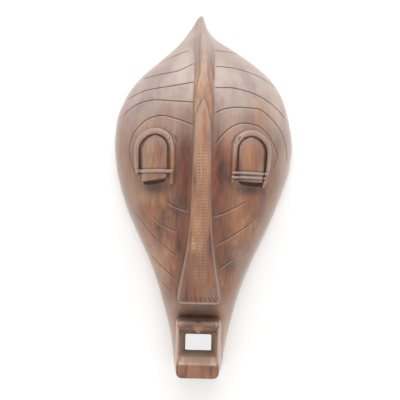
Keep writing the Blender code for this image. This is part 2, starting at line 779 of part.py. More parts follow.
def turned(name, profile, steps, finish):
    """A solid turned about the Y axis from (radius, y) points, the first and last on the axis."""
    mesh = bmesh.new()
    verts = [mesh.verts.new((radius, y, 0.0)) for radius, y in profile]
    edges = [mesh.edges.new(pair) for pair in zip(verts, verts[1:])]
    bmesh.ops.spin(
        mesh, geom=verts + edges, cent=(0, 0, 0), axis=(0, 1, 0), angle=2 * math.pi, steps=steps
    )
    bmesh.ops.remove_doubles(mesh, verts=mesh.verts, dist=1e-6)
    bmesh.ops.recalc_face_normals(mesh, faces=mesh.faces)
    return add_object(name, mesh, finish)


def make_screw():
    """The round-head screw that holds the strap, with a slot in its head."""
    floor = -(POCKET_DEPTH - GLUE_GAP - STRAP_THICKNESS - GLUE_GAP)
    tip = floor - SCREW_LENGTH
    head = floor + SCREW_HEAD_HEIGHT
    shank, dome = SCREW_SHANK_RADIUS, SCREW_HEAD_RADIUS
    profile = [(radius * shank, tip + way * shank) for radius, way in SCREW_POINT]
    profile += [(shank, floor)]
    profile += [(radius * dome, floor + height * SCREW_HEAD_HEIGHT) for radius, height in SCREW_DOME]
    screw = turned("hanger_screw", profile, SCREW_FACETS, steel)
    screw.location.z = RING_AXIS_HEIGHT - SCREW_DROP
    wide, tall = SCREW_HEAD_RADIUS + MM, SCREW_SLOT_WIDTH / 2
    rings = []
    for y in (head - SCREW_SLOT_DEPTH, head + MM):
        rings.append([(-wide, y, -tall), (wide, y, -tall), (wide, y, tall), (-wide, y, tall)])
    slot_cutter = as_tool(loft("screw_slot_cutter", rings))
    slot_cutter.location.z = screw.location.z
    cut(screw, slot_cutter)
    return screw


def make_screw_hole(name, clearance, depths):
    """A round cutter on the screw's axis between two depths."""
    radius = SCREW_SHANK_RADIUS + clearance
    rings = []
    for depth in depths:
        ring = []
        for i in range(SCREW_FACETS):
            a = 2 * math.pi * i / SCREW_FACETS
            z = RING_AXIS_HEIGHT - SCREW_DROP + radius * math.sin(a)
            ring.append((radius * math.cos(a), -depth, z))
        rings.append(ring)
    return as_tool(loft(name, rings))


def make_pocket_cutter():
    """The shallow recess in the back that keeps the hanger clear of the wall."""
    half = RING_HALF_WIDTH + WIRE_RADIUS + POCKET_MARGIN
    reach = RING_HEIGHT + WIRE_RADIUS + POCKET_MARGIN
    foot = RING_AXIS_HEIGHT - max(reach, STRAP_LENGTH + POCKET_MARGIN)
    top = RING_AXIS_HEIGHT + reach
    ends = (-BACK_OVERRUN, POCKET_DEPTH)
    return as_tool(loft("pocket_cutter", [rounded_box_ring(half, foot, top, POCKET_CORNER, d) for d in ends]))


# ---- Putting the mask together ------------------------------------------------------------------------

for old in list(bpy.data.objects):
    bpy.data.objects.remove(old)

wood = material("stained_wood", WOOD_COLOUR, WOOD_ROUGHNESS)
steel = material("plated_steel", STEEL_COLOUR, STEEL_ROUGHNESS, metallic=1.0)

frame = bpy.data.objects.new("mask_frame", None)
frame.location.z = -HOOK_HEIGHT
bpy.context.scene.collection.objects.link(frame)

shell = make_face_block()
face_seat = seat_of(shell)
opening_cutter = make_opening_cutter()

crest = make_crest("crest")
crest_seat = as_tool(make_crest("crest_seat", GLUE_GAP))
cut(crest, face_seat)

nose = make_nose()
cut(nose, crest_seat)
cut(nose, face_seat)

for eye_name, eye_sizes in EYES.items():
    lid = make_lid(eye_name, eye_sizes)
    lid_seat = seat_of(lid)
    arch = make_arch(eye_name, eye_sizes)
    arch_seat = seat_of(arch)
    cut(lid, face_seat)
    cut(arch, face_seat)
    for band_name, band_sizes in eye_sizes["lash_bands"].items():
        band = make_lash_band(band_name, eye_sizes, band_sizes["height"], band_sizes["width"])
        cut(band, lid_seat)
        cut(band, arch_seat)
        cut(band, face_seat)
    cut(shell, make_slit_cutter(eye_name, eye_sizes))

mouth_box = make_mouth_box()
bevel(mouth_box, MOUTH_EDGE_ROUNDING, MOUTH_EDGE_FACETS)
mouth_seat = seat_of(mouth_box)
cut(mouth_box, opening_cutter)
cut(mouth_box, face_seat)
upper_lip = make_upper_lip()
cut(upper_lip, mouth_seat)

cut(shell, make_hollow_cutter())
cut(shell, opening_cutter)
cut(shell, make_pocket_cutter())
pilot_depth = POCKET_DEPTH + SCREW_LENGTH + MM
cut(shell, make_screw_hole("pilot_hole_cutter", GLUE_GAP, (0.0, pilot_depth)))

make_ring()
strap = make_strap()
cut(strap, make_screw_hole("strap_hole_cutter", GLUE_GAP, (-MM, POCKET_DEPTH + MM)))
make_screw()
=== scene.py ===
"""Looks of the carved wooden wall mask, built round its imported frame.

Metres, +Z up. The mask faces -Y and its back rim lies in the plane Y = 0, against the wall. Heights are
measured up from the underside of the chin and depths forward from the rim, as in the part's own source,
and every mesh is then lowered by HOOK_HEIGHT. The sections follow the mask's assembly.
"""

import math

import bmesh
import bpy
import numpy as np
from mathutils import Matrix, Vector, kdtree


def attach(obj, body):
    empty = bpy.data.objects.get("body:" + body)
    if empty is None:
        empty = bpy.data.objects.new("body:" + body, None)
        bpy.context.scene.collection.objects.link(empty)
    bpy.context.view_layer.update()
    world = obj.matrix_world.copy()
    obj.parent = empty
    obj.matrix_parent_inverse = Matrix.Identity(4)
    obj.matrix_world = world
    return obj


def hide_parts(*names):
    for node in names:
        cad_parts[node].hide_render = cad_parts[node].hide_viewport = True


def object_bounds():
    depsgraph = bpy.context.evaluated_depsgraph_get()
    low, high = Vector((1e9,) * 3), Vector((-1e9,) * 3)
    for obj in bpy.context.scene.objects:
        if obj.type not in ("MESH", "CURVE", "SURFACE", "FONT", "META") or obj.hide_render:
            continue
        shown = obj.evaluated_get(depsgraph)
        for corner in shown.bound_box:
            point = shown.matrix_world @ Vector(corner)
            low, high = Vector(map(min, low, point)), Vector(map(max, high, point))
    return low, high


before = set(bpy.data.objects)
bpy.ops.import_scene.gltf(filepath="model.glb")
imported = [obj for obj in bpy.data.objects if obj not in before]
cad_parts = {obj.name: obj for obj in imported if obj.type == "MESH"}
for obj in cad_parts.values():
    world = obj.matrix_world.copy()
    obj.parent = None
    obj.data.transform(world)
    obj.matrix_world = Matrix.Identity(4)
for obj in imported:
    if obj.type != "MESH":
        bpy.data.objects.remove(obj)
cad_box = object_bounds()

# ---- Mask shell ---------------------------------------------------------------------------------------
# One block of close-grained wood, shaped in front with adze and knife and sanded, hollowed at the back with
# the adze alone. The lines over forehead and cheeks are cut with a small V-gouge, and then the whole mask is
# stained red-brown and varnished.

MM = 0.001
HOOK_HEIGHT = 0.40925  # of the place where the hook holds the raised ring
MASK_HEIGHT = 0.460
# The rim's half-width by height on each side of the middle line, and the face's depth on that line.
LEFT_OUTLINE = (
    (0.000, 0.0300), (0.040, 0.0355), (0.086, 0.0473), (0.133, 0.0645), (0.180, 0.0865), (0.204, 0.0972),
    (0.227, 0.1050), (0.258, 0.1125), (0.289, 0.1157), (0.320, 0.1133), (0.351, 0.1018), (0.375, 0.0846),
    (0.398, 0.0590), (0.414, 0.0400), (0.430, 0.0240), (0.445, 0.0125), (0.460, 0.0035),
)
RIGHT_OUTLINE = (
    (0.000, 0.0300), (0.040, 0.0362), (0.086, 0.0470), (0.133, 0.0642), (0.180, 0.0853), (0.204, 0.0950),
    (0.227, 0.1035), (0.258, 0.1130), (0.289, 0.1165), (0.320, 0.1120), (0.351, 0.1030), (0.375, 0.0880),
    (0.398, 0.0615), (0.414, 0.0385), (0.430, 0.0160), (0.445, 0.0062), (0.460, 0.0020),
)
FACE_PROFILE = (
    (0.000, 0.036), (0.060, 0.040), (0.070, 0.043), (0.082, 0.053), (0.095, 0.062), (0.120, 0.069),
    (0.150, 0.075), (0.200, 0.084), (0.250, 0.090), (0.290, 0.094), (0.320, 0.093), (0.350, 0.086),
    (0.375, 0.074), (0.400, 0.057), (0.420, 0.040), (0.440, 0.022), (0.460, 0.008),
)
# How square the face's level sections are by height: 2 is an ellipse.
SQUARENESS = ((0.000, 4.5), (0.062, 4.5), (0.110, 2.4), (0.160, 2.0), (0.460, 2.0))
TIP_LEAN = 0.006
TIP_LEAN_START = 0.390
VALLEY = {"deep": 0.006, "x": 0.024, "z": 0.215, "wide": 0.012, "tall": 0.070}  # beside the nose
SCOOP = {"deep": 0.006, "wide": 0.017, "tall": 0.009, "drop": 0.0068}  # under each eyelid
SLIT = {"half": 0.0148, "tall": 0.0048, "drop": 0.0008, "deep": 0.042}  # the peep slit under each lid
EYE = 0.2392  # height of the left lid's far corner, from which every height of the eyes is measured
# The near side of an eye is the one beside the nose. An arch's legs are given by their inner and outer edges.
EYES = {
    "left": {
        "side": -1, "centre": 0.0578, "lid_foot": {"near": EYE + 0.0048, "far": EYE},
        "near": {"foot": EYE - 0.0028, "at_spring": (0.0185, 0.0252), "at_foot": (0.0185, 0.0248)},
        "far": {"foot": EYE + 0.0085, "at_spring": (0.0200, 0.0272), "at_foot": (0.0196, 0.0238)},
        "lash_bands": {"left_lash_band": {"height": EYE + 0.0125, "width": 0.0040}},
    },
    "right": {
        "side": 1, "centre": 0.0594, "lid_foot": {"near": EYE + 0.0036, "far": EYE + 0.0015},
        "near": {"foot": EYE - 0.0003, "at_spring": (0.0173, 0.0240), "at_foot": (0.0204, 0.0262)},
        "far": {"foot": EYE - 0.0042, "at_spring": (0.0196, 0.0256), "at_foot": (0.0140, 0.0174)},
        "lash_bands": {
            "right_upper_lash_band": {"height": EYE + 0.0123, "width": 0.0030},
            "right_lower_lash_band": {"height": EYE + 0.0071, "width": 0.0030},
        },
    },
}
WALL = 0.014
RIM_WIDTH = 0.012
HOLLOW_FOOT = 0.014
HOLLOW_TOP = 0.366
HOLLOW_POWER = 5  # how square the hollow's two ends are
BACK_OVERRUN = 0.006  # how far a cutter starts behind the back
ADZE_SCOOP = (0.010, 0.010, 0.017)  # sizes of one adze mark
ADZE_DEPTH = 0.0009
MOUTH_GAP = 0.0004  # between the shell and the mouth that is let into it
OPENING_CORNER = 0.0018
OPENING = (  # of the mouth: depth, half-width, foot, top
    (-0.006, 0.0180, 0.0200, 0.0500),
    (0.038, 0.0164, 0.0274, 0.0478),
    (0.070, 0.0220, 0.0255, 0.0585),
    (0.078, 0.0234, 0.0185, 0.0612),
)
# The hanger's recess in the back, and the hole for its screw.
RECESS = {"half": 0.01245, "foot": 0.38305, "top": 0.41395, "corner": 0.0040, "depth": 0.0055}
SCREW_HEIGHT = 0.3919
PILOT_RADIUS = 0.0017
PILOT_DEPTH = 0.0185
SHARP = 50  # degrees between two faces, above which their edge stays crisp
GOUGE_HALF_WIDTH = 0.0010
GOUGE_DEPTH = 0.0010
LINE_STEP = 0.0004


def smooth(stations, at):
    """Values at places along (place, value) stations, on a curve that never overshoots them."""
    places, values = np.array(stations, float).T
    at = np.clip(at, places[0], places[-1])
    steps = np.diff(places)
    slopes = np.diff(values) / steps
    before, after = slopes[:-1], slopes[1:]
    same_way = before * after > 0
    total = np.where(same_way, before + after, 1.0)
    tangents = np.concatenate([slopes[:1], np.where(same_way, 2 * before * after / total, 0.0), slopes[-1:]])
    i = np.clip(np.searchsorted(places, at, side="right") - 1, 0, len(slopes) - 1)
    t = (at - places[i]) / steps[i]
    bend = steps[i] * t * (1 - t) * (tangents[i] * (1 - t) - tangents[i + 1] * t)
    return values[i] * (1 + 2 * t) * (1 - t) ** 2 + values[i + 1] * t * t * (3 - 2 * t) + bend


def ease(t):
    """A share from 0 to 1 that starts and ends softly."""
    t = np.clip(t, 0.0, 1.0)
    return t * t * (3 - 2 * t)


def middle(z):
    """X of the mask's middle line, which leans at the tip."""
    return -TIP_LEAN * ease((z - TIP_LEAN_START) / (MASK_HEIGHT - TIP_LEAN_START))


def lid_foot(eye, t):
    """Height of a lid's foot at t, from -1 at the lid's -X side to 1."""
    near, far = eye["lid_foot"]["near"], eye["lid_foot"]["far"]
    return (near + far) / 2 + (far - near) / 2 * t * eye["side"]


def dent(x, z, at_x, at_z, size):
    """Depth of one soft-edged hollow at each point."""
    return size["deep"] * np.exp(-(((x - at_x) / size["wide"]) ** 2) - ((z - at_z) / size["tall"]) ** 2)


def valleys(x, z):
    """Depth of the long hollows on each side of the nose."""
    return sum(dent(x, z, side * VALLEY["x"], VALLEY["z"], VALLEY) for side in (-1, 1))


def hollows(x, z):
    """Depth of all the shallow carved hollows of the face."""
    total = valleys(x, z)
    for eye in EYES.values():
        total = total + dent(x, z, eye["side"] * eye["centre"], lid_foot(eye, 0.0) - SCOOP["drop"], SCOOP)
    return total


def half_width(z, offset):
    """Half-width of the rim at a height, on the side of the middle line that the offset lies on."""
    return np.where(offset < 0, smooth(LEFT_OUTLINE, z), smooth(RIGHT_OUTLINE, z))


def face(x, z):
    """Depth of the face's front surface."""
    offset = x - middle(z)
    across = np.minimum(abs(offset) / half_width(z, offset), 1.0)
    n = smooth(SQUARENESS, z)
    return smooth(FACE_PROFILE, z) * (1 - across**n) ** (1 / n) - hollows(x, z)


def arc_of(z, count, inset=0.0, wall=0.0, scale=1.0, with_hollows=True):
    """Evenly spaced points of one level section of the face, from the rim on the -X side to the other."""
    angle = np.linspace(-math.pi / 2, math.pi / 2, 1201)
    n = smooth(SQUARENESS, z)
    reach = (half_width(z, angle) - inset) * scale
    x = middle(z) + np.sign(angle) * reach * abs(np.sin(angle)) ** (2 / n)
    depth = (smooth(FACE_PROFILE, z) - wall) * scale * np.maximum(np.cos(angle), 0.0) ** (2 / n)
    if with_hollows:
        depth[1:-1] -= hollows(x, z)[1:-1]
    along = np.concatenate([[0.0], np.cumsum(np.hypot(np.diff(x), np.diff(depth)))])
    at = np.linspace(0.0, along[-1], count)
    return np.interp(at, along, x), np.interp(at, along, depth)


def skin(name, rings, finish=None):
    """A closed mesh through rings of (x, depth, height) points, with a face over each end."""
    rings = np.array(rings, float)
    rows, count = rings.shape[:2]
    points = rings.reshape(-1, 3) * (1, -1, 1) - (0, 0, HOOK_HEIGHT)
    i = np.arange(rows - 1)[:, None] * count + np.arange(count)
    j = np.arange(rows - 1)[:, None] * count + (np.arange(count) + 1) % count
    faces = np.stack([i, j, j + count, i + count], -1).reshape(-1, 4).tolist()
    faces += [list(range(count)), list(range((rows - 1) * count, rows * count))[::-1]]
    mesh = bpy.data.meshes.new(name)
    mesh.from_pydata(points.tolist(), [], faces)
    made = bpy.data.objects.new(name, mesh)
    bpy.context.scene.collection.objects.link(made)
    face_out(mesh)
    if finish:
        mesh.materials.append(finish)
        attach(made, "mask")
    return made


def face_out(mesh):
    """Turns every face outwards, and shades the mesh smooth but for its sharp edges."""
    work = bmesh.new()
    work.from_mesh(mesh)
    bmesh.ops.recalc_face_normals(work, faces=work.faces)
    work.to_mesh(mesh)
    work.free()
    mesh.shade_smooth()
    mesh.set_sharp_from_angle(angle=math.radians(SHARP))


def take_out(piece, cutter):
    """Cuts a closed mesh out of a piece and throws the cutter away."""
    step = piece.modifiers.new("cut", "BOOLEAN")
    step.operation = "DIFFERENCE"
    step.solver = "EXACT"
    step.object = cutter
    cut_mesh = bpy.data.meshes.new_from_object(piece.evaluated_get(bpy.context.evaluated_depsgraph_get()))
    piece.modifiers.clear()
    piece.data = cut_mesh
    bpy.data.objects.remove(cutter)


def box_ring(half, foot, top, corner, depth, turns=10, steps=28):
    """Points of an upright box's outline at one depth: so many round each corner and along each side."""
    outline = []
    for side_x, side_z, start in ((1, -1, -90), (1, 1, 0), (-1, 1, 90), (-1, -1, 180)):
        a = np.radians(start + np.linspace(0.0, 90.0, turns))
        edge_z = top - corner if side_z > 0 else foot + corner
        arc = np.stack([side_x * (half - corner) + corner * np.cos(a), edge_z + corner * np.sin(a)], -1)
        outline.append(arc)
    ring = []
    for arc, following in zip(outline, outline[1:] + outline[:1]):
        ring += [arc, arc[-1] + (following[0] - arc[-1]) * np.linspace(0.0, 1.0, steps + 1)[1:-1, None]]
    ring = np.concatenate(ring)
    return np.stack([ring[:, 0], np.full(len(ring), depth), ring[:, 1]], -1)


def opening_at(depth, wider=0.0):
    """Outline of the mouth's opening at a depth."""
    stations = np.array(OPENING)
    half, foot, top = (float(np.interp(depth, stations[:, 0], stations[:, k])) for k in (1, 2, 3))
    return box_ring(half + wider, foot - wider, top + wider, OPENING_CORNER + wider, depth)


def line_on(surface, points, strength=1.0, fade=0.004, lift=0.0):
    """Samples along a line through (x, z) points in mm on a surface: x, depth, height and strength."""
    points = np.array(points, float) * MM
    chords = np.concatenate([[0.0], np.cumsum(np.hypot(*np.diff(points, axis=0).T))])
    at = np.linspace(0.0, chords[-1], max(3, int(chords[-1] / LINE_STEP)))
    x = smooth(list(zip(chords, points[:, 0])), at)
    z = smooth(list(zip(chords, points[:, 1])), at)
    ends = np.minimum(at, chords[-1] - at) / max(fade, 1e-6)
    return np.stack([x, surface(x, z) + lift, z, strength * np.clip(0.25 + ends, 0.0, 1.0)], -1)


def nearest(lines, mesh):
    """For each point of a mesh: how far the nearest sample of these lines is, its strength, how far below."""
    samples = np.concatenate(lines)
    tree = kdtree.KDTree(len(samples))
    for i, (x, depth, z, _) in enumerate(samples):
        tree.insert((x, -depth, z - HOOK_HEIGHT), i)
    tree.balance()
    found = [tree.find(v.co) for v in mesh.vertices]
    below = np.array([f[0].z - v.co.z for f, v in zip(found, mesh.vertices)])
    return np.array([f[2] for f in found]), samples[[f[1] for f in found], 3], below


def refine(mesh, lines, reaches):
    """Halves the faces near these lines, once for each reach."""
    for reach in reaches:
        distance = nearest(lines, mesh)[0]
        work = bmesh.new()
        work.from_mesh(mesh)
        quads = [f for f in work.faces if len(f.verts) == 4]
        near = [f for f in quads if min(distance[v.index] for v in f.verts) < reach]
        edges = {e for f in near for e in f.edges}
        bmesh.ops.subdivide_edges(work, edges=list(edges), cuts=1, use_grid_fill=True)
        work.to_mesh(mesh)
        work.free()


def coordinates(mesh):
    """Points and normals of a mesh as arrays."""
    points = np.zeros(len(mesh.vertices) * 3)
    mesh.vertices.foreach_get("co", points)
    normals = np.zeros(len(mesh.vertices) * 3)
    mesh.vertex_normals.foreach_get("vector", normals)
    return points.reshape(-1, 3), normals.reshape(-1, 3)


def push(mesh, amount):
    """Moves each point of a mesh inwards by its own amount."""
    points, normals = coordinates(mesh)
    points -= normals * np.asarray(amount)[:, None]
    mesh.vertices.foreach_set("co", points.ravel())
    mesh.update()


def mark(mesh, name, values):
    """Raises a share at each point to these values from 0 to 1. The wood's finish reads it by its name."""
    attribute = mesh.attributes.get(name) or mesh.attributes.new(name, "FLOAT", "POINT")
    held = np.zeros(len(mesh.vertices), np.float32)
    attribute.data.foreach_get("value", held)
    attribute.data.foreach_set("value", np.maximum(held, np.clip(values, 0.0, 1.0)).astype(np.float32))


def gouge(mesh, lines, half, deep, rub_and_highlight=0.7):
    """Cuts V-shaped lines into a mesh, dark with stain inside and paled along their lower edge: handling, and
    a painted highlight where that flank faces up to the light.
    """
    distance, strength, below = nearest(lines, mesh)
    strength = strength * (coordinates(mesh)[0][:, 1] < -1.5 * MM)  # the back's rim stays flat
    share = np.clip(1 - distance / half, 0.0, 1.0) * strength
    push(mesh, share * deep)
    mark(mesh, "cut", share * 1.3)
    edge = np.clip(1 - abs(distance / half - 1.3) / 0.7, 0.0, 1.0) * (below > 0)
    mark(mesh, "wear_and_highlight", edge * strength * rub_and_highlight)


def linear(text):
    """Linear RGBA from an sRGB hex colour."""
    channels = [int(text[i : i + 2], 16) / 255 for i in (1, 3, 5)]
    return tuple(c / 12.92 if c <= 0.04045 else ((c + 0.055) / 1.055) ** 2.4 for c in channels) + (1.0,)


def add(tree, kind, inputs=(), output=0, stops=(), **settings):
    """Adds a node with its settings, and gives one of its outputs, or all of them if output is None.

    Inputs are listed by name or in turn, as values, hex colours or other nodes' outputs. The stops of a colour
    ramp are pairs of a place and a hex colour.
    """
    made = tree.nodes.new("ShaderNode" + kind)
    for key, value in settings.items():
        setattr(made, key, value)
    for key, value in inputs.items() if isinstance(inputs, dict) else enumerate(inputs):
        if isinstance(value, bpy.types.NodeSocket):
            tree.links.new(value, made.inputs[key])
        else:
            made.inputs[key].default_value = linear(value) if isinstance(value, str) else value
    if stops:
        points = made.color_ramp.elements
        while len(points) < len(stops):
            points.new(0.5)
        for point, (place, colour) in zip(points, stops):
            point.position = place
            point.color = linear(colour)
    return made.outputs if output is None else made.outputs[output]


def new_material(name):
    """A material and its node tree, emptied."""
    made = bpy.data.materials.new(name)
    made.use_nodes = True
    made.node_tree.nodes.clear()
    return made, made.node_tree


def pattern(tree, stretch, size, detail=2.0, roughness=0.5):
    """Noise over the object's own coordinates, of this size in mm and stretched along the grain."""
    place = add(tree, "TexCoord", output="Object")
    mapped = add(tree, "Mapping", {"Vector": place, "Scale": stretch})
    inputs = {"Vector": mapped, "Scale": 1 / (size * MM), "Detail": detail, "Roughness": roughness}
    return add(tree, "TexNoise", inputs)


# Sizes of the wood's patterns across the grain, in mm. Real pores are 0.2 mm across, which would not show.
STREAK = 10 / 3
BAND = 40 / 3
CAST = 50 / 3
CLOUD = 125 / 6
PATCH = 100 / 3
PORE = 2 / 3
SOFT = {"interpolation_type": "SMOOTHSTEP"}  # a range that starts and ends softly


def stained_varnished_wood():
    """Close-grained wood under an uneven red-brown stain, a dusty wax bloom and a satin varnish.

    The eye sees upright streaks under a wide soft gloss, warm beside the nose and greyer towards the tip,
    where a sheen is painted. The meshes carry a share for each mark: deep_stain_and_shade where the stain is
    deep and where shade is painted dark, tan where the stain is thin, soot_and_shade for dirt and painted
    shade, dust_and_sheen for dusty wax and a painted sheen, rub_and_highlight for the rim's handling and its
    painted grazing reflection, wear_and_highlight for edges that handling has paled and for painted
    highlights, and cut inside the knife cuts and as painted shade on the muzzle's top and under the lip.
    """
    made, tree = new_material("red_brown_stained_and_varnished_wood")
    height = add(tree, "SeparateXYZ", [add(tree, "TexCoord", output="Object")], "Z")
    normal = add(tree, "NewGeometry", output="Normal")
    ahead = add(tree, "Math", [add(tree, "SeparateXYZ", [normal], "Y")], operation="ABSOLUTE")
    shares = {}
    most = {"deep_stain_and_shade": 1.0, "tan": 0.9, "soot_and_shade": 0.92, "dust_and_sheen": 1.0, "rub_and_highlight": 1.0, "wear_and_highlight": 0.85, "cut": 0.92}
    for name in most:
        held = add(tree, "Attribute", output="Fac", attribute_name=name)
        shares[name] = add(tree, "Math", [held, most[name]], operation="MULTIPLY")

    streaks = pattern(tree, (1, 1, 0.10), STREAK, 4, 0.6)
    bands = pattern(tree, (1, 1, 0.30), BAND, 3, 0.6)
    patches = pattern(tree, (1, 1, 0.8), PATCH, 3)
    pores = add(tree, "MapRange", [pattern(tree, (1, 1, 0.045), PORE, 1), 0.63, 0.72], **SOFT)
    figure = 0.0
    for noise, weight in ((bands, 0.36), (streaks, 0.32), (patches, 0.32)):
        figure = add(tree, "Math", [noise, weight, figure], operation="MULTIPLY_ADD")

    # Wax dust lies thickest towards the tip and in clouds, and least where the stain is rich. Towards the tip
    # it is also a painted sheen, the haze of the lamp overhead on the gloss.
    high = add(tree, "MapRange", [height, -0.19, -0.02], **SOFT)
    cloudy = add(tree, "MapRange", [patches, 0.36, 0.62, 0.70, 1.0], **SOFT)
    poor = add(tree, "Math", [shares["deep_stain_and_shade"], -0.9, 1.0], operation="MULTIPLY_ADD")
    dust_and_sheen = add(tree, "Math", [high, cloudy], operation="MULTIPLY")
    dust_and_sheen = add(tree, "Math", [dust_and_sheen, poor], operation="MULTIPLY")
    dust_and_sheen = add(tree, "Math", [dust_and_sheen, shares["dust_and_sheen"]], operation="MAXIMUM")

    # The rim is paled where it turns away from the front, along the streaks: handling, and a painted
    # reflection of the white surround at a grazing angle.
    turned = add(tree, "MapRange", [ahead, 0.50, 0.15], **SOFT)
    rim = add(tree, "Math", [turned, shares["rub_and_highlight"]], operation="MULTIPLY")
    streaky = add(tree, "MapRange", [streaks, 0.35, 0.62, 0.35, 0.8], **SOFT)
    rim = add(tree, "Math", [rim, streaky], operation="MULTIPLY")

    # Over the grain's own figure lie these layers, each with its share: a hot and a cool cast, wax dust with a
    # painted sheen, dirt in the pores, a painted sheen on the steep flanks and the rim's handling with a
    # painted reflection, deep stain with painted shade and thin stain, soot with painted shade, painted shade
    # in the nooks, wear with painted highlights, and cuts, which are painted shade in a few places.
    hot = add(tree, "MapRange", [bands, 0.50, 0.66, 0.0, 0.5], **SOFT)
    cool = add(tree, "MapRange", [pattern(tree, (1, 1, 0.35), CAST), 0.53, 0.66, 0.0, 0.5], **SOFT)
    in_pores = add(tree, "Math", [pores, 0.3], operation="MULTIPLY")
    # Painted sheen: the steep flanks, turned away from the front, are paled as the gloss would pale them.
    painted_flank_sheen = add(tree, "MapRange", [ahead, 0.80, 0.35, 0.0, 0.45], **SOFT)
    # Painted shade: the ambient occlusion darkens nooks and the places between parts.
    occlusion = add(tree, "AmbientOcclusion", {"Distance": 0.006}, "AO", samples=6)
    painted_nook_shade = add(tree, "MapRange", [occlusion, 0.85, 0.35, 0.0, 0.65], **SOFT)
    grain = ((0.38, "#5e3a2c"), (0.46, "#8a5a40"), (0.54, "#a06e4a"), (0.62, "#b98a62"))
    dust_and_sheen_tones = ((0.38, "#b19e9b"), (0.50, "#bcaaa4"), (0.62, "#c1b0a5"))
    deep = ((0.38, "#3a1308"), (0.47, "#662810"), (0.55, "#883c14"), (0.62, "#a65420"))
    thin = ((0.40, "#97562d"), (0.5, "#b2733f"), (0.62, "#cd9b68"))
    layers = (
        (hot, "#9d5733"),
        (cool, "#744f47"),
        (dust_and_sheen, add(tree, "ValToRGB", [pattern(tree, (1, 1, 0.7), CLOUD)], stops=dust_and_sheen_tones)),
        (in_pores, "#5c3526"),
        (painted_flank_sheen, "#bfa495"),
        (rim, "#e2d3c7"),
        (shares["deep_stain_and_shade"], add(tree, "ValToRGB", [figure], stops=deep)),
        (shares["tan"], add(tree, "ValToRGB", [figure], stops=thin)),
        (shares["soot_and_shade"], "#4a3128"),
        (painted_nook_shade, "#4a2c21"),
        (shares["wear_and_highlight"], "#d2b9a6"),
        (shares["cut"], "#37201a"),
    )
    colour = add(tree, "ValToRGB", [figure], stops=grain)
    for share, layer in layers:
        colour = add(tree, "Mix", {0: share, 6: colour, 7: layer}, 2, data_type="RGBA")

    relief = add(tree, "Math", [pores, -0.5, streaks], operation="MULTIPLY_ADD")
    inputs = {
        "Base Color": colour,
        "Roughness": add(tree, "MapRange", [bands, 0.3, 0.7, 0.38, 0.54], **SOFT),
        "Coat Weight": 0.7,
        "Coat Roughness": 0.30,
        "Sheen Weight": 0.14,
        "Sheen Roughness": 0.5,
        "Sheen Tint": "#e6d0c0",
        "Normal": add(tree, "Bump", {"Strength": 0.3, "Distance": 0.0004, "Height": relief}),
    }
    add(tree, "OutputMaterial", [add(tree, "BsdfPrincipled", inputs)], None)
    return made


wood = stained_varnished_wood()

# Gouged lines as (x, height) in mm, from the crest outwards and then from the nose outwards.
FOREHEAD_LINES = (
    ((-20, 406), (-36, 400), (-52, 394), (-57, 390)),
    ((-13, 386), (-17, 384), (-34, 376), (-54, 373), (-78, 370)),
    ((-12, 361), (-27, 358), (-49, 355), (-74, 352), (-97, 344)),
    ((-11, 335), (-39, 337), (-61, 339), (-82, 335), (-95, 328), (-101, 322)),
    ((-11, 307), (-33, 315), (-51, 319), (-66, 316), (-80, 306), (-88, 293), (-91, 279), (-90, 267),
     (-84, 251)),
    ((11, 406), (28, 406), (50, 409)),
    ((13, 383), (35, 382), (57, 378), (76, 372), (91, 364)),
    ((13, 354), (32, 355), (53, 352), (72, 346), (91, 335), (104, 324)),
    ((14, 322), (26, 328), (44, 331), (65, 331), (85, 320), (99, 304), (105, 287), (108, 269)),
    ((15, 285), (25, 298), (37, 308), (51, 312), (66, 310), (79, 301), (88, 288), (93, 275), (89, 257)),
)
CHEEK_LINES = (
    ((-41, 214), (-32, 209), (-16, 204)),
    ((-61, 197), (-52, 189), (-41, 183), (-31, 179)),
    ((-84, 200), (-67, 180), (-53, 166), (-42, 158), (-30, 148)),
    ((-63, 146), (-45, 131), (-30, 119)),
    ((-47, 113), (-38, 104)),
    ((13, 198), (24, 201), (40, 209), (55, 217)),
    ((19, 163), (33, 171), (50, 182), (61, 190), (72, 200)),
    ((23, 133), (30, 138), (41, 146)),
)
TIP_ROUNDING = 0.0045
# Places on the face as x, height, half-width and half-height in mm, and strength: where the stain is deepest,
# with painted shade in the valleys beside the nose; where dirt has gathered and shade is painted dark, in
# those valleys and under the lids; where the stain is thin; where the face is rubbed off, with a pale sheen
# painted towards its edges and on the jaw beside the mouth; and where wax dust lies, with a painted sheen.
DEEP_STAIN_AND_SHADE_PLACES = (
    (-21, 250, 10, 52, 1.0), (22, 246, 12, 50, 0.85), (-24, 170, 12, 40, 0.55), (26, 168, 12, 36, 0.5),
    (-70, 196, 12, 18, 0.35), (66, 205, 12, 20, 0.35),
)
SOOT_AND_SHADE_PLACES = (
    (-29, 254, 4, 24, 0.6), (-22, 258, 8, 40, 0.22), (27, 252, 5, 20, 0.2), (-57, 232, 20, 9, 1.0),
    (59, 232, 20, 8, 1.0), (27, 190, 12, 40, 0.25), (52, 170, 14, 25, 0.15), (-108, 262, 10, 40, 0.15),
    (35, 142, 11, 15, 0.6), (-50, 183, 9, 7, 0.45), (25, 192, 5, 12, 0.35),
    (-36, 206, 14, 4, 0.35), (-17, 120, 5, 22, 0.35), (40, 160, 16, 4, 0.4), (-84, 246, 5, 30, 0.2),
)
TAN_PLACES = (
    (50, 184, 8, 8, 0.55), (-62, 168, 10, 26, 0.35), (-48, 130, 12, 26, 0.75), (44, 112, 8, 14, 0.35),
    (-88, 232, 13, 28, 0.6), (-20, 96, 6, 10, 0.3), (-66, 300, 20, 16, 0.3), (70, 328, 9, 18, 0.5),
    (-106, 268, 9, 44, 0.5),
)
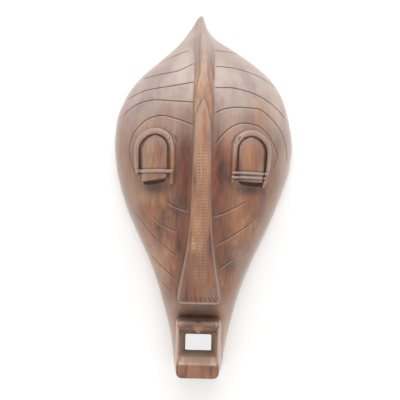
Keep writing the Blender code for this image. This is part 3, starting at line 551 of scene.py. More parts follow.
PALE_PLACES = (
    (90, 336, 12, 26, 0.8), (106, 262, 9, 34, 0.5), (-37, 30, 9, 48, 1.3), (37, 30, 9, 48, 1.3),
    (-50, 128, 12, 26, 0.25), (-86, 228, 14, 26, 0.25),
)
DUST_AND_SHEEN_PLACES = (
    (40, 324, 24, 9, 0.8), (34, 300, 8, 8, 0.4), (-70, 226, 10, 12, 0.25), (0, 86, 26, 12, 0.65),
    (46, 148, 9, 16, 0.3),
)


def strongest(x, z, places):
    """The strongest of these soft-edged places at each point."""
    shares = []
    for at_x, at_z, wide, tall, strength in places:
        away = ((x / MM - at_x) / wide) ** 2 + ((z / MM - at_z) / tall) ** 2
        shares.append(strength * np.exp(-away))
    return np.maximum.reduce(shares)


def places_of(mesh):
    """x, depth and height of each point of a mesh."""
    points, _ = coordinates(mesh)
    return points[:, 0], -points[:, 1], points[:, 2] + HOOK_HEIGHT


def face_rings(step, count):
    """Level sections of the face from the chin to the rounded tip."""
    rings = []
    for z in np.linspace(0.0, MASK_HEIGHT, int(MASK_HEIGHT / step)):
        x, depth = arc_of(z, count)
        over = max(0.0, (z - MASK_HEIGHT + TIP_ROUNDING) / TIP_ROUNDING)
        taper = math.sqrt(1 - (0.9 * over) ** 2)
        x = np.clip(middle(z) + (x - middle(z)) * taper, cad_box[0][0], cad_box[1][0])
        rings.append(np.stack([x, depth * taper, np.full(count, z)], -1))
    return rings


def hollow_rings(step, count):
    """Level sections of the hollow, which follows the face at the wall's distance."""
    centre, reach = (HOLLOW_FOOT + HOLLOW_TOP) / 2, (HOLLOW_TOP - HOLLOW_FOOT) / 2
    rings = []
    for z in np.linspace(HOLLOW_FOOT + MM, HOLLOW_TOP - MM, int(2 * reach / step)):
        ends = (1 - (abs(z - centre) / reach) ** HOLLOW_POWER) ** (1 / HOLLOW_POWER)
        x, depth = arc_of(z, count, RIM_WIDTH, WALL, ends, with_hollows=False)
        depth[[0, -1]] = -BACK_OVERRUN
        rings.append(np.stack([x, depth, np.full(count, z)], -1))
    return rings


def adze(mesh, size, deep, seed):
    """Overlapping scoops of an adze all over a mesh."""
    random = np.random.default_rng(seed)
    points, _ = coordinates(mesh)
    low, high = points.min(0), points.max(0)
    grid = [np.arange(a, b + s, s) for a, b, s in zip(low, high, size)]
    cells = np.stack(np.meshgrid(*grid), -1).reshape(-1, 3)
    cells += random.uniform(-0.4, 0.4, cells.shape) * size
    tree = kdtree.KDTree(len(cells))
    for i, cell in enumerate(cells):
        tree.insert(cell / size, i)
    tree.balance()
    distance = np.array([tree.find(p / size)[2] for p in points])
    push(mesh, -deep * np.clip(1 - distance**2, 0.0, 1.0))


shell = skin("carved_shell", face_rings(step=0.0019, count=170), wood)
hollow = skin("hollow_cutter", hollow_rings(step=0.0032, count=84))
adze(hollow.data, np.array(ADZE_SCOOP), ADZE_DEPTH, seed=5)
take_out(shell, hollow)
for eye in EYES.values():
    centre = eye["side"] * eye["centre"]
    across = np.sin(np.linspace(-math.pi / 2, math.pi / 2, 15))
    above = [(centre + t * SLIT["half"], lid_foot(eye, t) - SLIT["drop"]) for t in across]
    under = [(x, z - SLIT["tall"] * (1 - t**4) ** 0.5) for (x, z), t in zip(above, across)][1:-1]
    front = float(face(centre, lid_foot(eye, 0.0)))
    edge = above + under[::-1]
    rings = [[(a, depth, b) for a, b in edge] for depth in (front - SLIT["deep"], front + WALL)]
    take_out(shell, skin("slit_cutter", rings))
sides = (RECESS["half"], RECESS["foot"], RECESS["top"], RECESS["corner"])
take_out(shell, skin("recess_cutter", [box_ring(*sides, d) for d in (-4 * MM, RECESS["depth"])]))
turns = np.linspace(0.0, 2 * math.pi, 33)[:-1]
pilot = PILOT_RADIUS * np.stack([np.cos(turns), 0 * turns, np.sin(turns)], -1) + (0.0, 0.0, SCREW_HEIGHT)
take_out(shell, skin("pilot_cutter", [pilot + (0.0, d, 0.0) for d in (MM, PILOT_DEPTH)]))
rings = [opening_at(d, MOUTH_GAP) for d in (-BACK_OVERRUN, 0.010, 0.024, 0.038, 0.060, 0.0779)]
take_out(shell, skin("opening_cutter", rings))
face_out(shell.data)

lines = [line_on(face, points) for points in FOREHEAD_LINES]
lines += [line_on(face, points, strength=0.95) for points in CHEEK_LINES]
refine(shell.data, lines, reaches=(0.0034, 0.0020))
gouge(shell.data, lines, GOUGE_HALF_WIDTH, GOUGE_DEPTH)
x, depth, z = places_of(shell.data)
# Deep stain, with painted shade in the valleys beside the nose.
mark(shell.data, "deep_stain_and_shade", strongest(x, z, DEEP_STAIN_AND_SHADE_PLACES))
# Dirt and painted shade lie in the valleys and under the lids. The hollow's inside is grimed and darkened as
# painted shade, and the slits' walls most of all, so that the slits show dark.
behind = depth < face(x, z) - 2 * MM
beside_slit = abs(abs(x) - EYES["left"]["centre"]) < SLIT["half"] + 4 * MM
painted_shade_slit_walls = behind & beside_slit & (abs(z - EYE) < 9 * MM) & (depth > 45 * MM)
inside = behind & (depth > MM / 2)
mark(shell.data, "soot_and_shade", strongest(x, z, SOOT_AND_SHADE_PLACES) + inside * 0.25 + painted_shade_slit_walls * 0.7)
# Wax dust, with a painted sheen where the gloss would haze.
mark(shell.data, "dust_and_sheen", strongest(x, z, DUST_AND_SHEEN_PLACES))
mark(shell.data, "tan", strongest(x, z, TAN_PLACES))
# Rubbed places, with a pale sheen painted towards the edges and on the jaw beside the mouth.
mark(shell.data, "wear_and_highlight", strongest(x, z, PALE_PLACES) * ~behind)
# The outer fifth of the width, towards the rim, is paled more and more: handling, and a painted grazing
# reflection.
aside = abs(x - middle(z)) / half_width(z, x - middle(z))
mark(shell.data, "rub_and_highlight", ease((aside - 0.8) / 0.2) * ~behind)
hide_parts("mask_shell")

# ---- Crest --------------------------------------------------------------------------------------------
# A narrow keel with a flat front edge and hollow-ground flanks, carved in one with the block. It runs from
# the tip down over the forehead, and a knife line marks where its flanks end.

RIDGE_PROFILE = (
    (0.0940, 0.101), (0.150, 0.103), (0.200, 0.104), (0.250, 0.105), (0.290, 0.105), (0.320, 0.103),
    (0.350, 0.098), (0.375, 0.089), (0.400, 0.074), (0.420, 0.057), (0.440, 0.036), (0.452, 0.022),
    (0.460, 0.0115),
)
CREST_FOOT = 0.286
CREST_BASE = (
    (0.286, 0.0085), (0.310, 0.0120), (0.340, 0.0125), (0.400, 0.0122), (0.420, 0.0110), (0.436, 0.0072),
    (0.450, 0.0040), (0.460, 0.0018),
)
CREST_TOP = (
    (0.286, 0.0070), (0.318, 0.0098), (0.338, 0.0094), (0.356, 0.0072), (0.375, 0.0042), (0.400, 0.0034),
    (0.440, 0.0028), (0.460, 0.0010),
)
CREST_EDGE = 0.0010
FLANK_HOLLOW = 0.0010  # how deep the flanks are hollowed
SINK = 0.005  # how far a carved piece starts below the face it stands on
KNIFE_DEPTH = 0.0004
# Knife lines along the crest as (height, x): where its flanks end and where its flat front does.
CREST_CUTS = (
    ((0.309, -0.0130), (0.336, -0.0119), (0.351, -0.0118), (0.364, -0.0125), (0.383, -0.0120),
     (0.405, -0.0150)),
    ((0.335, -0.0112), (0.349, -0.0094), (0.363, -0.0072), (0.381, -0.0058), (0.400, -0.0066),
     (0.428, -0.0063)),
    ((0.315, 0.0146), (0.333, 0.0130), (0.353, 0.0136), (0.372, 0.0108), (0.392, 0.0066)),
    ((0.322, 0.0142), (0.331, 0.0118), (0.349, 0.0086), (0.357, 0.0068), (0.376, 0.0040)),
)
# Knife lines of the pointed arch that the nose starts in, given in the same way.
ARCH_CUTS = (
    ((0.304, -0.0120), (0.315, -0.0105), (0.327, -0.0067), (0.334, -0.0036), (0.341, 0.0004)),
    ((0.299, 0.0114), (0.311, 0.0095), (0.321, 0.0072), (0.332, 0.0048), (0.341, 0.0004)),
)


def knife_line(x, z, line, half=0.0008):
    """How near each point is to a line given as (height, x), fading at its ends."""
    ends = ease((z - line[0][0]) / 0.006) * ease((line[-1][0] + 0.002 - z) / 0.006)
    return np.clip(1 - abs(x - smooth(line, z)) / half, 0.0, 1.0) * ends


def crest_rings(step):
    """Level sections of the crest: down one flank, over the flat front and down the other."""
    rings = []
    for z in np.linspace(CREST_FOOT, MASK_HEIGHT - 0.0003, int((MASK_HEIGHT - CREST_FOOT) / step)):
        x, base, top = float(middle(z)), float(smooth(CREST_BASE, z)), float(smooth(CREST_TOP, z))
        front = float(smooth(RIDGE_PROFILE, z))
        over = max(0.0, (z - MASK_HEIGHT + TIP_ROUNDING) / TIP_ROUNDING)
        taper = math.sqrt(1 - (0.9 * over) ** 2)
        base, top, front = base * taper, top * taper, front * taper
        back = max(float(face(x, z)) - SINK, MM) * taper
        foot = max(float(face(x - base, z)), float(face(x + base, z))) + CREST_EDGE
        foot = min(foot * taper, front - CREST_EDGE)
        s = np.linspace(0.0, 1.0, 17)
        flank_x = base + (top - base) * s
        flank = foot + (front - CREST_EDGE / 2 - foot) * s
        flank = flank - FLANK_HOLLOW * np.sin(math.pi * s) * min(1.0, top / 0.004)
        t = np.linspace(1.0, 0.0, 15)[1:]
        half_x = np.concatenate([[base], flank_x, top * t])
        half_d = np.concatenate([[back], flank, front - CREST_EDGE / 2 * t**3])
        ring_x = np.concatenate([-half_x, half_x[::-1][1:]])
        ring_d = np.concatenate([half_d, half_d[::-1][1:]])
        rings.append(np.stack([x + ring_x, ring_d, np.full(len(ring_x), z)], -1))
    return rings


crest = skin("carved_crest", crest_rings(step=0.0009), wood)
x, depth, z = places_of(crest.data)
lines = np.maximum.reduce([knife_line(x, z, line) for line in CREST_CUTS + ARCH_CUTS])
push(crest.data, lines * KNIFE_DEPTH)
mark(crest.data, "cut", lines * 0.75)
mark(crest.data, "tan", ease((0.440 - z) / 0.090) * 0.75)
mark(crest.data, "soot_and_shade", np.full(len(z), 0.14))
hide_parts("crest")

# ---- Nose ---------------------------------------------------------------------------------------------
# A long strip that starts in a point on the crest and flares to a square foot above the mouth, its edges
# rounded over. Its front is hatched with fine knife strokes in a herringbone, and nicked along the foot.

NOSE_OUTLINE = (
    (0.0940, 0.0264), (0.101, 0.0268), (0.114, 0.0252), (0.136, 0.0210), (0.165, 0.0163), (0.196, 0.0136),
    (0.227, 0.0123), (0.265, 0.0116), (0.296, 0.0110), (0.311, 0.0098), (0.322, 0.0072), (0.331, 0.0040),
    (0.338, 0.0010),
)
NOSE_STEP = 0.0016
NOSE_CROWN = 0.0012
NOSE_FOOT_ROUNDING = 0.0026
HATCH_SPINE = 0.0024  # x of the herringbone's middle
HATCH_PITCH = 0.0037
HATCH_COLUMN = 0.0027
HATCH_DEPTH = 0.0007
HATCH_PATCH = ((12, 106.5, 6, 7.5, 1.5),)  # of coarser strokes, given like the places on the face


def nose_front(z):
    """Depth of the nose's front on its middle line."""
    return smooth(RIDGE_PROFILE, z) + NOSE_STEP


def nose_rings(count):
    """Level sections of the nose, close enough together to hold the knife strokes."""
    low, high = NOSE_OUTLINE[0][0], NOSE_OUTLINE[-1][0]
    rounding = low + NOSE_FOOT_ROUNDING * (1 - np.cos(np.linspace(0, math.pi / 2, 9)))[:-1]
    heights = np.concatenate([rounding, np.linspace(low + NOSE_FOOT_ROUNDING, high, 620)])
    rings = []
    for z in heights:
        x, half, top = float(middle(z)), float(smooth(NOSE_OUTLINE, z)), float(nose_front(z))
        back = float(face(x, z)) - SINK
        foot = float(face(x + half, z)) - MM
        under = min(1.0, max(0.0, (low + NOSE_FOOT_ROUNDING - z) / NOSE_FOOT_ROUNDING))
        sag = NOSE_FOOT_ROUNDING * (1 - math.sqrt(1 - under**2))
        half, top = half - sag, top - sag
        t = np.linspace(-1.0, 1.0, count)
        t = t * (1.5 - 0.5 * t * t)
        rise = (1 - abs(t) ** 16.0) ** 0.5
        depth = foot + (top - foot) * rise - NOSE_CROWN * t * t
        depth = np.maximum(depth, back + MM)
        ring_x = np.concatenate([[x - half], x + t * half, [x + half]])
        ring_d = np.concatenate([[back], depth, [back]])
        rings.append(np.stack([ring_x, ring_d, np.full(count + 2, z)], -1))
    return rings


def strokes_along(place, pitch):
    """Evenly spaced dark strokes, from 0 between them to 1 in their middle."""
    return np.clip(0.2 + 1.1 * np.cos(2 * math.pi * place / pitch), 0.0, 1.0)


def within(value, low, high, soft=0.002):
    """1 between low and high, with soft ends inside them."""
    return ease((value - low) / soft) * ease((high - value) / soft)


def hatched(x, z):
    """Where the herringbone covers the nose's front."""
    return within(x - HATCH_SPINE, -0.0092, 0.0068) * within(z, 0.112, 0.296, 0.020)


def hatching(x, z):
    """How deep the knife strokes are at each point of the nose's front, from 0 to 1."""
    off = x - HATCH_SPINE
    turn = (off / HATCH_COLUMN + 0.5) % 2.0
    zigzag = HATCH_COLUMN * abs(turn - 1.0)
    gap = 0.35 + 0.65 * np.sin(math.pi * (turn % 1.0)) ** 2
    uneven = 0.72 + 0.28 * np.sin(z * 210 + 4 * off / HATCH_COLUMN) * np.sin(z * 77 + 1.3)
    herringbone = strokes_along(z + zigzag, HATCH_PITCH) * gap * uneven
    herringbone *= hatched(x, z)
    left = strokes_along(z - 0.9 * x, 0.0034) * within(x, -0.0105, 0.0010) * within(z, 0.132, 0.159, 0.008)
    right = strokes_along(z - 0.9 * x, 0.0036) * np.clip(strongest(x, z, HATCH_PATCH), 0.0, 1.0)
    nicks = strokes_along(x + 0.5 * z, 0.0052) * within(z, 0.0965, 0.1030, 0.001) * 0.7
    return np.maximum.reduce([herringbone, 0.8 * left, right, nicks])


nose = skin("carved_nose", nose_rings(count=150), wood)
x, depth, z = places_of(nose.data)
half = smooth(NOSE_OUTLINE, z)
front = depth > nose_front(z) - 0.005
strokes = hatching(x, z) * front
push(nose.data, strokes * HATCH_DEPTH)
lines = np.maximum.reduce([knife_line(x, z, line, 0.0010) for line in ARCH_CUTS])
mark(nose.data, "cut", np.maximum(strokes * 0.62, lines * 0.7))
# The wood left between the strokes is pale, and three specks on the left are paler.
between = np.clip(strongest(x, z, HATCH_PATCH), 0.0, 1.0) * (1 - strokes)
between = np.maximum(between, hatched(x, z) * (1 - strokes) * 0.45)
specks = strongest(x, z, ((-8, 166, 1.6, 1.4, 1.0), (-7, 161, 1.2, 1.6, 0.9), (-9, 171, 1.0, 1.2, 0.7)))
mark(nose.data, "wear_and_highlight", front * np.maximum(between * 0.4, specks * 0.8))
# The front is tan above and red-brown below, and its left edge is grimed low down.
strip = front * ease((0.80 * half - abs(x - 0.001)) / 0.006)
mark(nose.data, "soot_and_shade", front * ease((-0.006 - x) / 0.004) * ease((0.165 - z) / 0.02) * 0.28)
mark(nose.data, "tan", strip * (0.15 + 0.65 * ease((z - 0.12) / 0.10)))
mark(nose.data, "deep_stain_and_shade", strip * 0.55 * ease((0.22 - z) / 0.08))
# The foot's edge and both long edges are chipped pale, the long edges with a painted highlight along them.
# Beside them the stain is deep, and the flanks are darkened with painted shade.
aside = abs(x - middle(z)) / half
low = ease((0.16 - z) / 0.03)
chips = ease((0.0968 - z) / 0.001) * (depth > nose_front(z) - 0.004)
corner = ease((aside - 0.965) / 0.02) * (depth > nose_front(z) - 0.006)
uneven = 0.65 + 0.35 * np.sin(z * 190) * np.sin(z * 83 + 2 * np.sign(x))
mark(nose.data, "wear_and_highlight", np.maximum(chips * 0.6, corner * uneven * (0.12 + 0.5 * low)))
beside = ease((aside - 0.85) / 0.08) * (1 - corner)
painted_shade_flanks = depth < nose_front(z) - 0.006
mark(nose.data, "deep_stain_and_shade", np.maximum(beside * 0.35, painted_shade_flanks * 0.8))
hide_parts("nose")

# ---- Eye arches ---------------------------------------------------------------------------------------
# A rounded band stands over each eye and hangs down past the lid in two legs. A few knife nicks cross it
# where the near leg turns into the arch.

LID_HALF_WIDTH = 0.0153
LID_TOP = EYE + 0.0558
LID_SPRING = LID_TOP - 0.0180
LID_TOP_RELIEF = 0.0040
LID_FOOT_RELIEF = 0.0125
LID_ROLL = 0.45
LID_FLARE = 0.0014  # how far a lid's sides spread at their root
ARCH_TOP = (0.0012, 0.0092)
ARCH_RELIEF = 0.0062
ARCH_FOOT_RELIEF = 0.0075
ARCH_EDGE = 0.0016
ARCH_COLUMNS = 17  # points across an arch


def leg_edges(ends, z):
    """Inner and outer edge of an arch's leg at a height, from the lid's centre."""
    share = max(0.0, (LID_SPRING - z) / (LID_SPRING - ends["foot"])) ** 2.2
    return [a + (b - a) * share for a, b in zip(ends["at_spring"], ends["at_foot"])]


def arch_stations(eye, step):
    """The arch over one eye from its near foot to its far foot, as pairs of inner and outer (x, z)."""
    side = eye["side"]
    centre = side * eye["centre"]
    near, far = eye["near"], eye["far"]

    def leg(ends, direction):
        """Stations up one leg, on the -X side or the other."""
        heights = np.linspace(ends["foot"], LID_SPRING, int((LID_SPRING - ends["foot"]) / step))[:-1]
        return [[(centre + direction * edge, z) for edge in leg_edges(ends, z)] for z in heights]

    stations = leg(near, -side)
    for angle in np.linspace(0.0, math.pi, 60):
        turn = float(ease(angle / math.pi))
        pair = []
        for i in (0, 1):
            reach = near["at_spring"][i] + (far["at_spring"][i] - near["at_spring"][i]) * turn
            rise = LID_TOP - LID_SPRING + ARCH_TOP[i]
            pair.append((centre - side * reach * math.cos(angle), LID_SPRING + rise * math.sin(angle)))
        stations.append(pair)
    return stations + leg(far, side)[::-1]


def arch_relief(t, z, eye):
    """How far an arch stands out of the face at t, from -1 at one edge to 1 at the other."""
    legs = ease((LID_SPRING - z) / (LID_SPRING - eye["near"]["foot"]))
    crown = ARCH_RELIEF + (ARCH_FOOT_RELIEF - ARCH_RELIEF) * legs
    return ARCH_EDGE + (crown - ARCH_EDGE) * np.sqrt(np.maximum(1 - t * t, 0.0))


def arch_rings(eye):
    """Sections across one arch, from its near foot to its far foot."""
    across = np.sin(np.linspace(-math.pi / 2, math.pi / 2, ARCH_COLUMNS))
    rings = []
    for (x0, z0), (x1, z1) in arch_stations(eye, 0.0008):
        t = (across + 1) / 2
        x, z = x0 + (x1 - x0) * t, z0 + (z1 - z0) * t
        depth = face(x, z) + arch_relief(across, z, eye)
        start = (x0, float(face(x0, z0)) - SINK, z0)
        end = (x1, float(face(x1, z1)) - SINK, z1)
        rings.append(np.concatenate([[start], np.stack([x, depth, z], -1), [end]]))
    return rings


# Knife nicks across the turn of each arch, from point to point as (x, height) in mm.
ARCH_NICKS = {
    "left": (((-40.9, 299.1), (-41.9, 293.3)), ((-37.9, 296.5), (-40.8, 288.0)),
             ((-35.5, 296.0), (-31.2, 291.5)), ((-34.5, 293.6), (-31.2, 286.9))),
    "right": (((40.2, 296.6), (35.1, 286.0)), ((40.7, 291.8), (38.5, 285.2)),
              ((43.9, 296.6), (42.0, 290.9)), ((45.1, 294.9), (43.7, 287.2))),
}


def arch_crown(x, z):
    """Depth of the arches' crown."""
    return face(x, z) + ARCH_RELIEF


arches = {}
for name, eye in EYES.items():
    arches[name] = skin(name + "_carved_arch", arch_rings(eye), wood)
    x, depth, z = places_of(arches[name].data)
    # The near leg is stained deepest, with a tan crown. Elsewhere the crown is painted pale as a highlight.
    # All edges are dark.
    low = ease((EYE + 0.040 - z) / 0.015)
    near = low * (abs(x) < eye["centre"])
    columns = np.sin(np.linspace(-math.pi / 2, math.pi / 2, ARCH_COLUMNS))
    across = np.tile(np.concatenate([[1.0], columns, [1.0]]), len(x) // (ARCH_COLUMNS + 2))
    edge = ease((abs(across) - 0.58) / 0.35)
    mark(arches[name].data, "deep_stain_and_shade", edge * (0.35 + 0.5 * near))
    mark(arches[name].data, "tan", (1 - edge) * near * 0.6)
    mark(arches[name].data, "deep_stain_and_shade", near * 0.3)
    mark(arches[name].data, "wear_and_highlight", (1 - edge) * (0.25 * (1 - low) + 0.35 * (low - near)))
    nicks = [line_on(arch_crown, nick, fade=0.0) for nick in ARCH_NICKS[name]]
    refine(arches[name].data, nicks, reaches=(0.0045, 0.0035))
    gouge(arches[name].data, nicks, half=0.0014, deep=0.0008, rub_and_highlight=0.0)
    away, _, _ = nearest(nicks, arches[name].data)
    mark(arches[name].data, "cut", ease((0.0009 - away) / 0.0005))
    mark(arches[name].data, "wear_and_highlight", ease((0.0019 - away) / 0.0007) * 0.9)
    # Where a nick runs out past the arch, the knife has touched the face.
    beside = [line_on(face, nick, fade=0.0) for nick in ARCH_NICKS[name]]
    refine(shell.data, beside, reaches=(0.0040, 0.0030))
    gouge(shell.data, beside, half=0.0008, deep=0.0005, rub_and_highlight=0.9)
    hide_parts(name + "_eye_arch")

# ---- Eyelids ------------------------------------------------------------------------------------------
# Half-closed lids that bulge most along their foot, rounded with the knife and sanded. The peep slit
# under each lid is cut through the wall.


def lid_relief(t, share):
    """How far a lid stands out of the face: t goes across it and share up it."""
    crown = LID_TOP_RELIEF + (LID_FOOT_RELIEF - LID_TOP_RELIEF) * ease(1 - share)
    return crown * (1 - (1 - LID_ROLL) * abs(t) ** 2.5)


def lid_rings(eye):
    """Sections across one lid, from its foot to its rounded top."""
    centre = eye["side"] * eye["centre"]
    lowest = min(min(e["lid_foot"].values()) for e in EYES.values())
    spring = (LID_SPRING - lowest) / (LID_TOP - lowest)
    t = np.linspace(-1.0, 1.0, 45)
    rings = []
    for share in np.sin(np.linspace(0.0, math.pi / 2 * 0.985, 60)):
        rise = max(0.0, (share - spring) / (1 - spring))
        half = LID_HALF_WIDTH * math.sqrt(1 - rise * rise)
        x = centre + t * half
        foot = lid_foot(eye, t)
        z = foot + (LID_TOP - foot) * share
        depth = face(x, z) + lid_relief(t, share)
        ends = []
        for i in (0, -1):
            root = x[i] + math.copysign(LID_FLARE, t[i])
            beside = float(face(root, z[i]))
            ends.append([(root, beside + 0.0003, z[i]), (root, beside - SINK, z[i])])
        rings.append(np.concatenate([ends[0][::-1], np.stack([x, depth, z], -1), ends[1]]))
    return rings


# Warm places on the lids, and deep ones with painted shade at their feet and sides, like those on the face.
LID_TAN = ((61, 263, 12, 18, 0.6), (-60, 270, 7, 16, 0.35), (-56, 244, 14, 4, 0.3))
LID_DEEP_STAIN_AND_SHADE = (
    (61, 264, 14, 24, 0.45), (-56, 249, 16, 5, 0.35), (-51, 268, 4, 16, 0.4), (64, 249, 9, 5, 0.3),
    (70, 275, 4, 14, 0.3),
)
lids = {}
for name, eye in EYES.items():
    lids[name] = skin(name + "_carved_lid", lid_rings(eye), wood)
    x, depth, z = places_of(lids[name].data)
    mark(lids[name].data, "tan", strongest(x, z, LID_TAN))
    mark(lids[name].data, "deep_stain_and_shade", strongest(x, z, LID_DEEP_STAIN_AND_SHADE))
    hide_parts(name + "_eyelid")

# ---- Lash bands ---------------------------------------------------------------------------------------
# Thin raised cords straight across each lid and both legs of its arch, left standing between two knife cuts.
# One crosses the left eye and two the right. Stain lies dark in the cuts, and wax dust with a painted sheen
# lies pale on the cords.

LASH_LANDING = 0.0040
LASH_SPREAD = 0.0004  # how much wider a cord is at its root, between the knife cuts
LASH_ROOT = 0.0022  # how far a cord starts below what it crosses
LASH_EDGE = 0.0004  # how far its edges lie below it
LASH_CROWN = 0.0014  # its rise from edge to crown
LASH_CUT = 0.0006  # from a cord's edge to the knife cut beside it


def eye_front(x, z, eye):
    """Depth of what stands foremost at a point of the eye."""
    offset = x - eye["side"] * eye["centre"]
    inner, outer = leg_edges(eye["far"] if offset * eye["side"] > 0 else eye["near"], z)
    t = offset / LID_HALF_WIDTH
    share = (z - lid_foot(eye, t)) / (LID_TOP - lid_foot(eye, t))
    lid = float(lid_relief(min(abs(t), 1.0), share)) if abs(offset) < inner else 0.0
    leg = float(arch_relief(0.0, z, eye)) if inner < abs(offset) < outer else 0.0
    return float(face(x, z)) + max(lid, leg)


def lash_ends(eye, height):
    """x of a band's two ends, which run out over the legs."""
    ends = {}
    for which, direction in (("near", -eye["side"]), ("far", eye["side"])):
        ends[direction] = direction * (leg_edges(eye[which], height)[0] + LASH_LANDING)
    return [eye["side"] * eye["centre"] + ends[direction] for direction in (-1, 1)]


def lash_rings(eye, height, width):
    """Sections of one cord from its -X end to the other."""
    turns = np.linspace(0.0, math.pi, 11)
    rings = []
    for x in np.linspace(*lash_ends(eye, height), 90):
        front = eye_front(x, height, eye)
        ring = [(x, front - LASH_ROOT, height + width / 2)]
        for a in turns:
            ring.append((x, front - LASH_EDGE + LASH_CROWN * math.sin(a), height + width / 2 * math.cos(a)))
        rings.append(ring + [(x, front - LASH_ROOT, height - width / 2)])
    return rings


for side, eye in EYES.items():

    def surface(x, z):
        """Depth of what stands foremost at many points of this eye."""
        return np.array([eye_front(a, b, eye) for a, b in zip(x, z)])

    cuts = []
    for name, size in eye["lash_bands"].items():
        width = size["width"] + LASH_SPREAD
        band = skin("carved_" + name, lash_rings(eye, size["height"], width), wood)
        x, depth, z = places_of(band.data)
        aside = abs(z - size["height"]) / (width / 2)
        mark(band.data, "cut", ease((aside - 0.8) / 0.2) * 0.6)
        mark(band.data, "dust_and_sheen", ease((1.0 - aside) / 0.3) * 0.6)
        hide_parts(name)
        for z in (size["height"] + t * (width / 2 + LASH_CUT) for t in (-1, 1)):
            ends = [(x / MM, z / MM) for x in lash_ends(eye, z)]
            cuts.append(line_on(surface, ends, strength=0.6, fade=0.0))
    for piece in (arches[side], lids[side]):
        refine(piece.data, cuts, reaches=(0.0030, 0.0018))
        gouge(piece.data, cuts, half=0.0014, deep=0.0007, rub_and_highlight=0.2)

# ---- Mouth --------------------------------------------------------------------------------------------
# The square muzzle with its chin, pared flat with the knife and open right through. It is let into the face,
# and its edges are rounded over and rubbed pale by handling, with highlights painted on them.

MOUTH_FRONT = 0.078
MOUTH_TOP = 0.0700
MOUTH_BACK_HALF_WIDTH = 0.0300
MOUTH_FRONT_HALF_WIDTH = 0.0262
MOUTH_SINK = 0.024  # depth where the muzzle starts inside the shell
CHIN_CORNER = 0.0075
MOUTH_EDGE = 0.0025
INNER_EDGE = 0.0009


def mouth_rings():
    """Upright outlines of the muzzle, from its back over its front edge and back along the opening."""
    rings = []

    def outer(depth, inward=0.0):
        """The muzzle's outline at a depth, drawn in towards its middle."""
        share = (depth - MOUTH_SINK) / (MOUTH_FRONT - MOUTH_SINK)
        half = MOUTH_BACK_HALF_WIDTH + (MOUTH_FRONT_HALF_WIDTH - MOUTH_BACK_HALF_WIDTH) * share
        return box_ring(half - inward, inward, MOUTH_TOP - inward, CHIN_CORNER - inward, depth)

    for depth in np.linspace(MOUTH_SINK, MOUTH_FRONT - MOUTH_EDGE, 26):
        rings.append(outer(depth))
    for a in np.linspace(0.0, math.pi / 2, 8)[1:]:
        depth = MOUTH_FRONT - MOUTH_EDGE * (1 - math.sin(a))
        rings.append(outer(depth, MOUTH_EDGE * (1 - math.cos(a))))
    front_inner = opening_at(MOUTH_FRONT, INNER_EDGE)
    last = rings[-1]
    for s in np.linspace(0.0, 1.0, 10)[1:]:
        rings.append(last + (front_inner - last) * s)
    for a in np.linspace(0.0, math.pi / 2, 5)[1:]:
        depth = MOUTH_FRONT - INNER_EDGE * (1 - math.cos(a))
        rings.append(opening_at(depth, INNER_EDGE * (1 - math.sin(a))))
    for depth in np.linspace(MOUTH_FRONT - INNER_EDGE, MOUTH_SINK, 40)[1:]:
        rings.append(opening_at(depth))
    rings.append(rings[0])
    return rings


def tube(name, rings, finish):
    """A closed mesh through rings of which the last is the first again."""
    made = skin(name, rings, finish)
    work = bmesh.new()
    work.from_mesh(made.data)
    bmesh.ops.delete(work, geom=[f for f in work.faces if len(f.verts) > 4], context="FACES")
    bmesh.ops.remove_doubles(work, verts=work.verts, dist=1e-6)
    work.to_mesh(made.data)
    work.free()
    face_out(made.data)
    return made


mouth = tube("carved_mouth", mouth_rings(), wood)
x, depth, z = places_of(mouth.data)
# Paled as painted light are the front's side edges, over handling, two lobes on the opening's lower edge as
# highlights, and its walls and floor as if more light reached them. The walls are painted tan as well.
inside = (abs(x) < 0.0236) & (z > 0.0175) & (z < 0.0615)
rim = ease((depth - 0.072) / 0.004) * ease((abs(x) - 0.0232) / 0.0014) * ease((z - 0.012) / 0.012)
lobe_highlights = np.exp(-(((abs(x + 0.0005) - 0.0085) / 0.006) ** 2) - ((z - 0.0220) / 0.0035) ** 2) * (depth > 0.068)
painted_light_walls = inside * ease((abs(x) - 0.0145) / 0.002) * (z < 0.0535) * ease((depth - 0.036) / 0.01)
painted_light_floor = inside * (z < 0.0275) * ease((depth - 0.045) / 0.01)
mark(mouth.data, "wear_and_highlight", np.maximum.reduce([rim * 0.95, lobe_highlights * 0.6, painted_light_walls * 0.85, painted_light_floor * 0.5]))
mark(mouth.data, "tan", painted_light_walls)
# Painted shade: the opening is darkened deep inside, and the muzzle's top behind the lip, under the nose.
over = ease((z - 0.0668) / 0.0016) * ease((0.0779 - depth) / 0.001)
mark(mouth.data, "soot_and_shade", inside * ease((0.042 - depth) / 0.004) * 0.6)
mark(mouth.data, "cut", over * 0.85)
# Painted reflection: the muzzle's outer sides are paled at a grazing angle, over handling.
mark(mouth.data, "rub_and_highlight", (abs(x) > 0.0245) * ease((z - 0.002) / 0.01) * (1 - over))
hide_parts("mouth_box")

# ---- Upper lip ----------------------------------------------------------------------------------------
# A bow-shaped roll along the mouth's top edge, rounded with the knife. Its point hangs down into the
# opening, and its two ends droop and flatten.

LIP_HALF_LENGTH = 0.0256
LIP_ROOT = 0.002  # how far the roll starts below the mouth's front
LIP_FOOT = 0.0628
LIP_TOP = 0.0702
LIP_RELIEF = 0.0050
LIP_POINT = {"drop": 0.0076, "half_width": 0.0070}
LIP_DIP = {"drop": 0.0016, "half_width": 0.0060, "scoop": 0.0008}
LIP_END = {"length": 0.0050, "drop": 0.0030, "relief": 0.45}


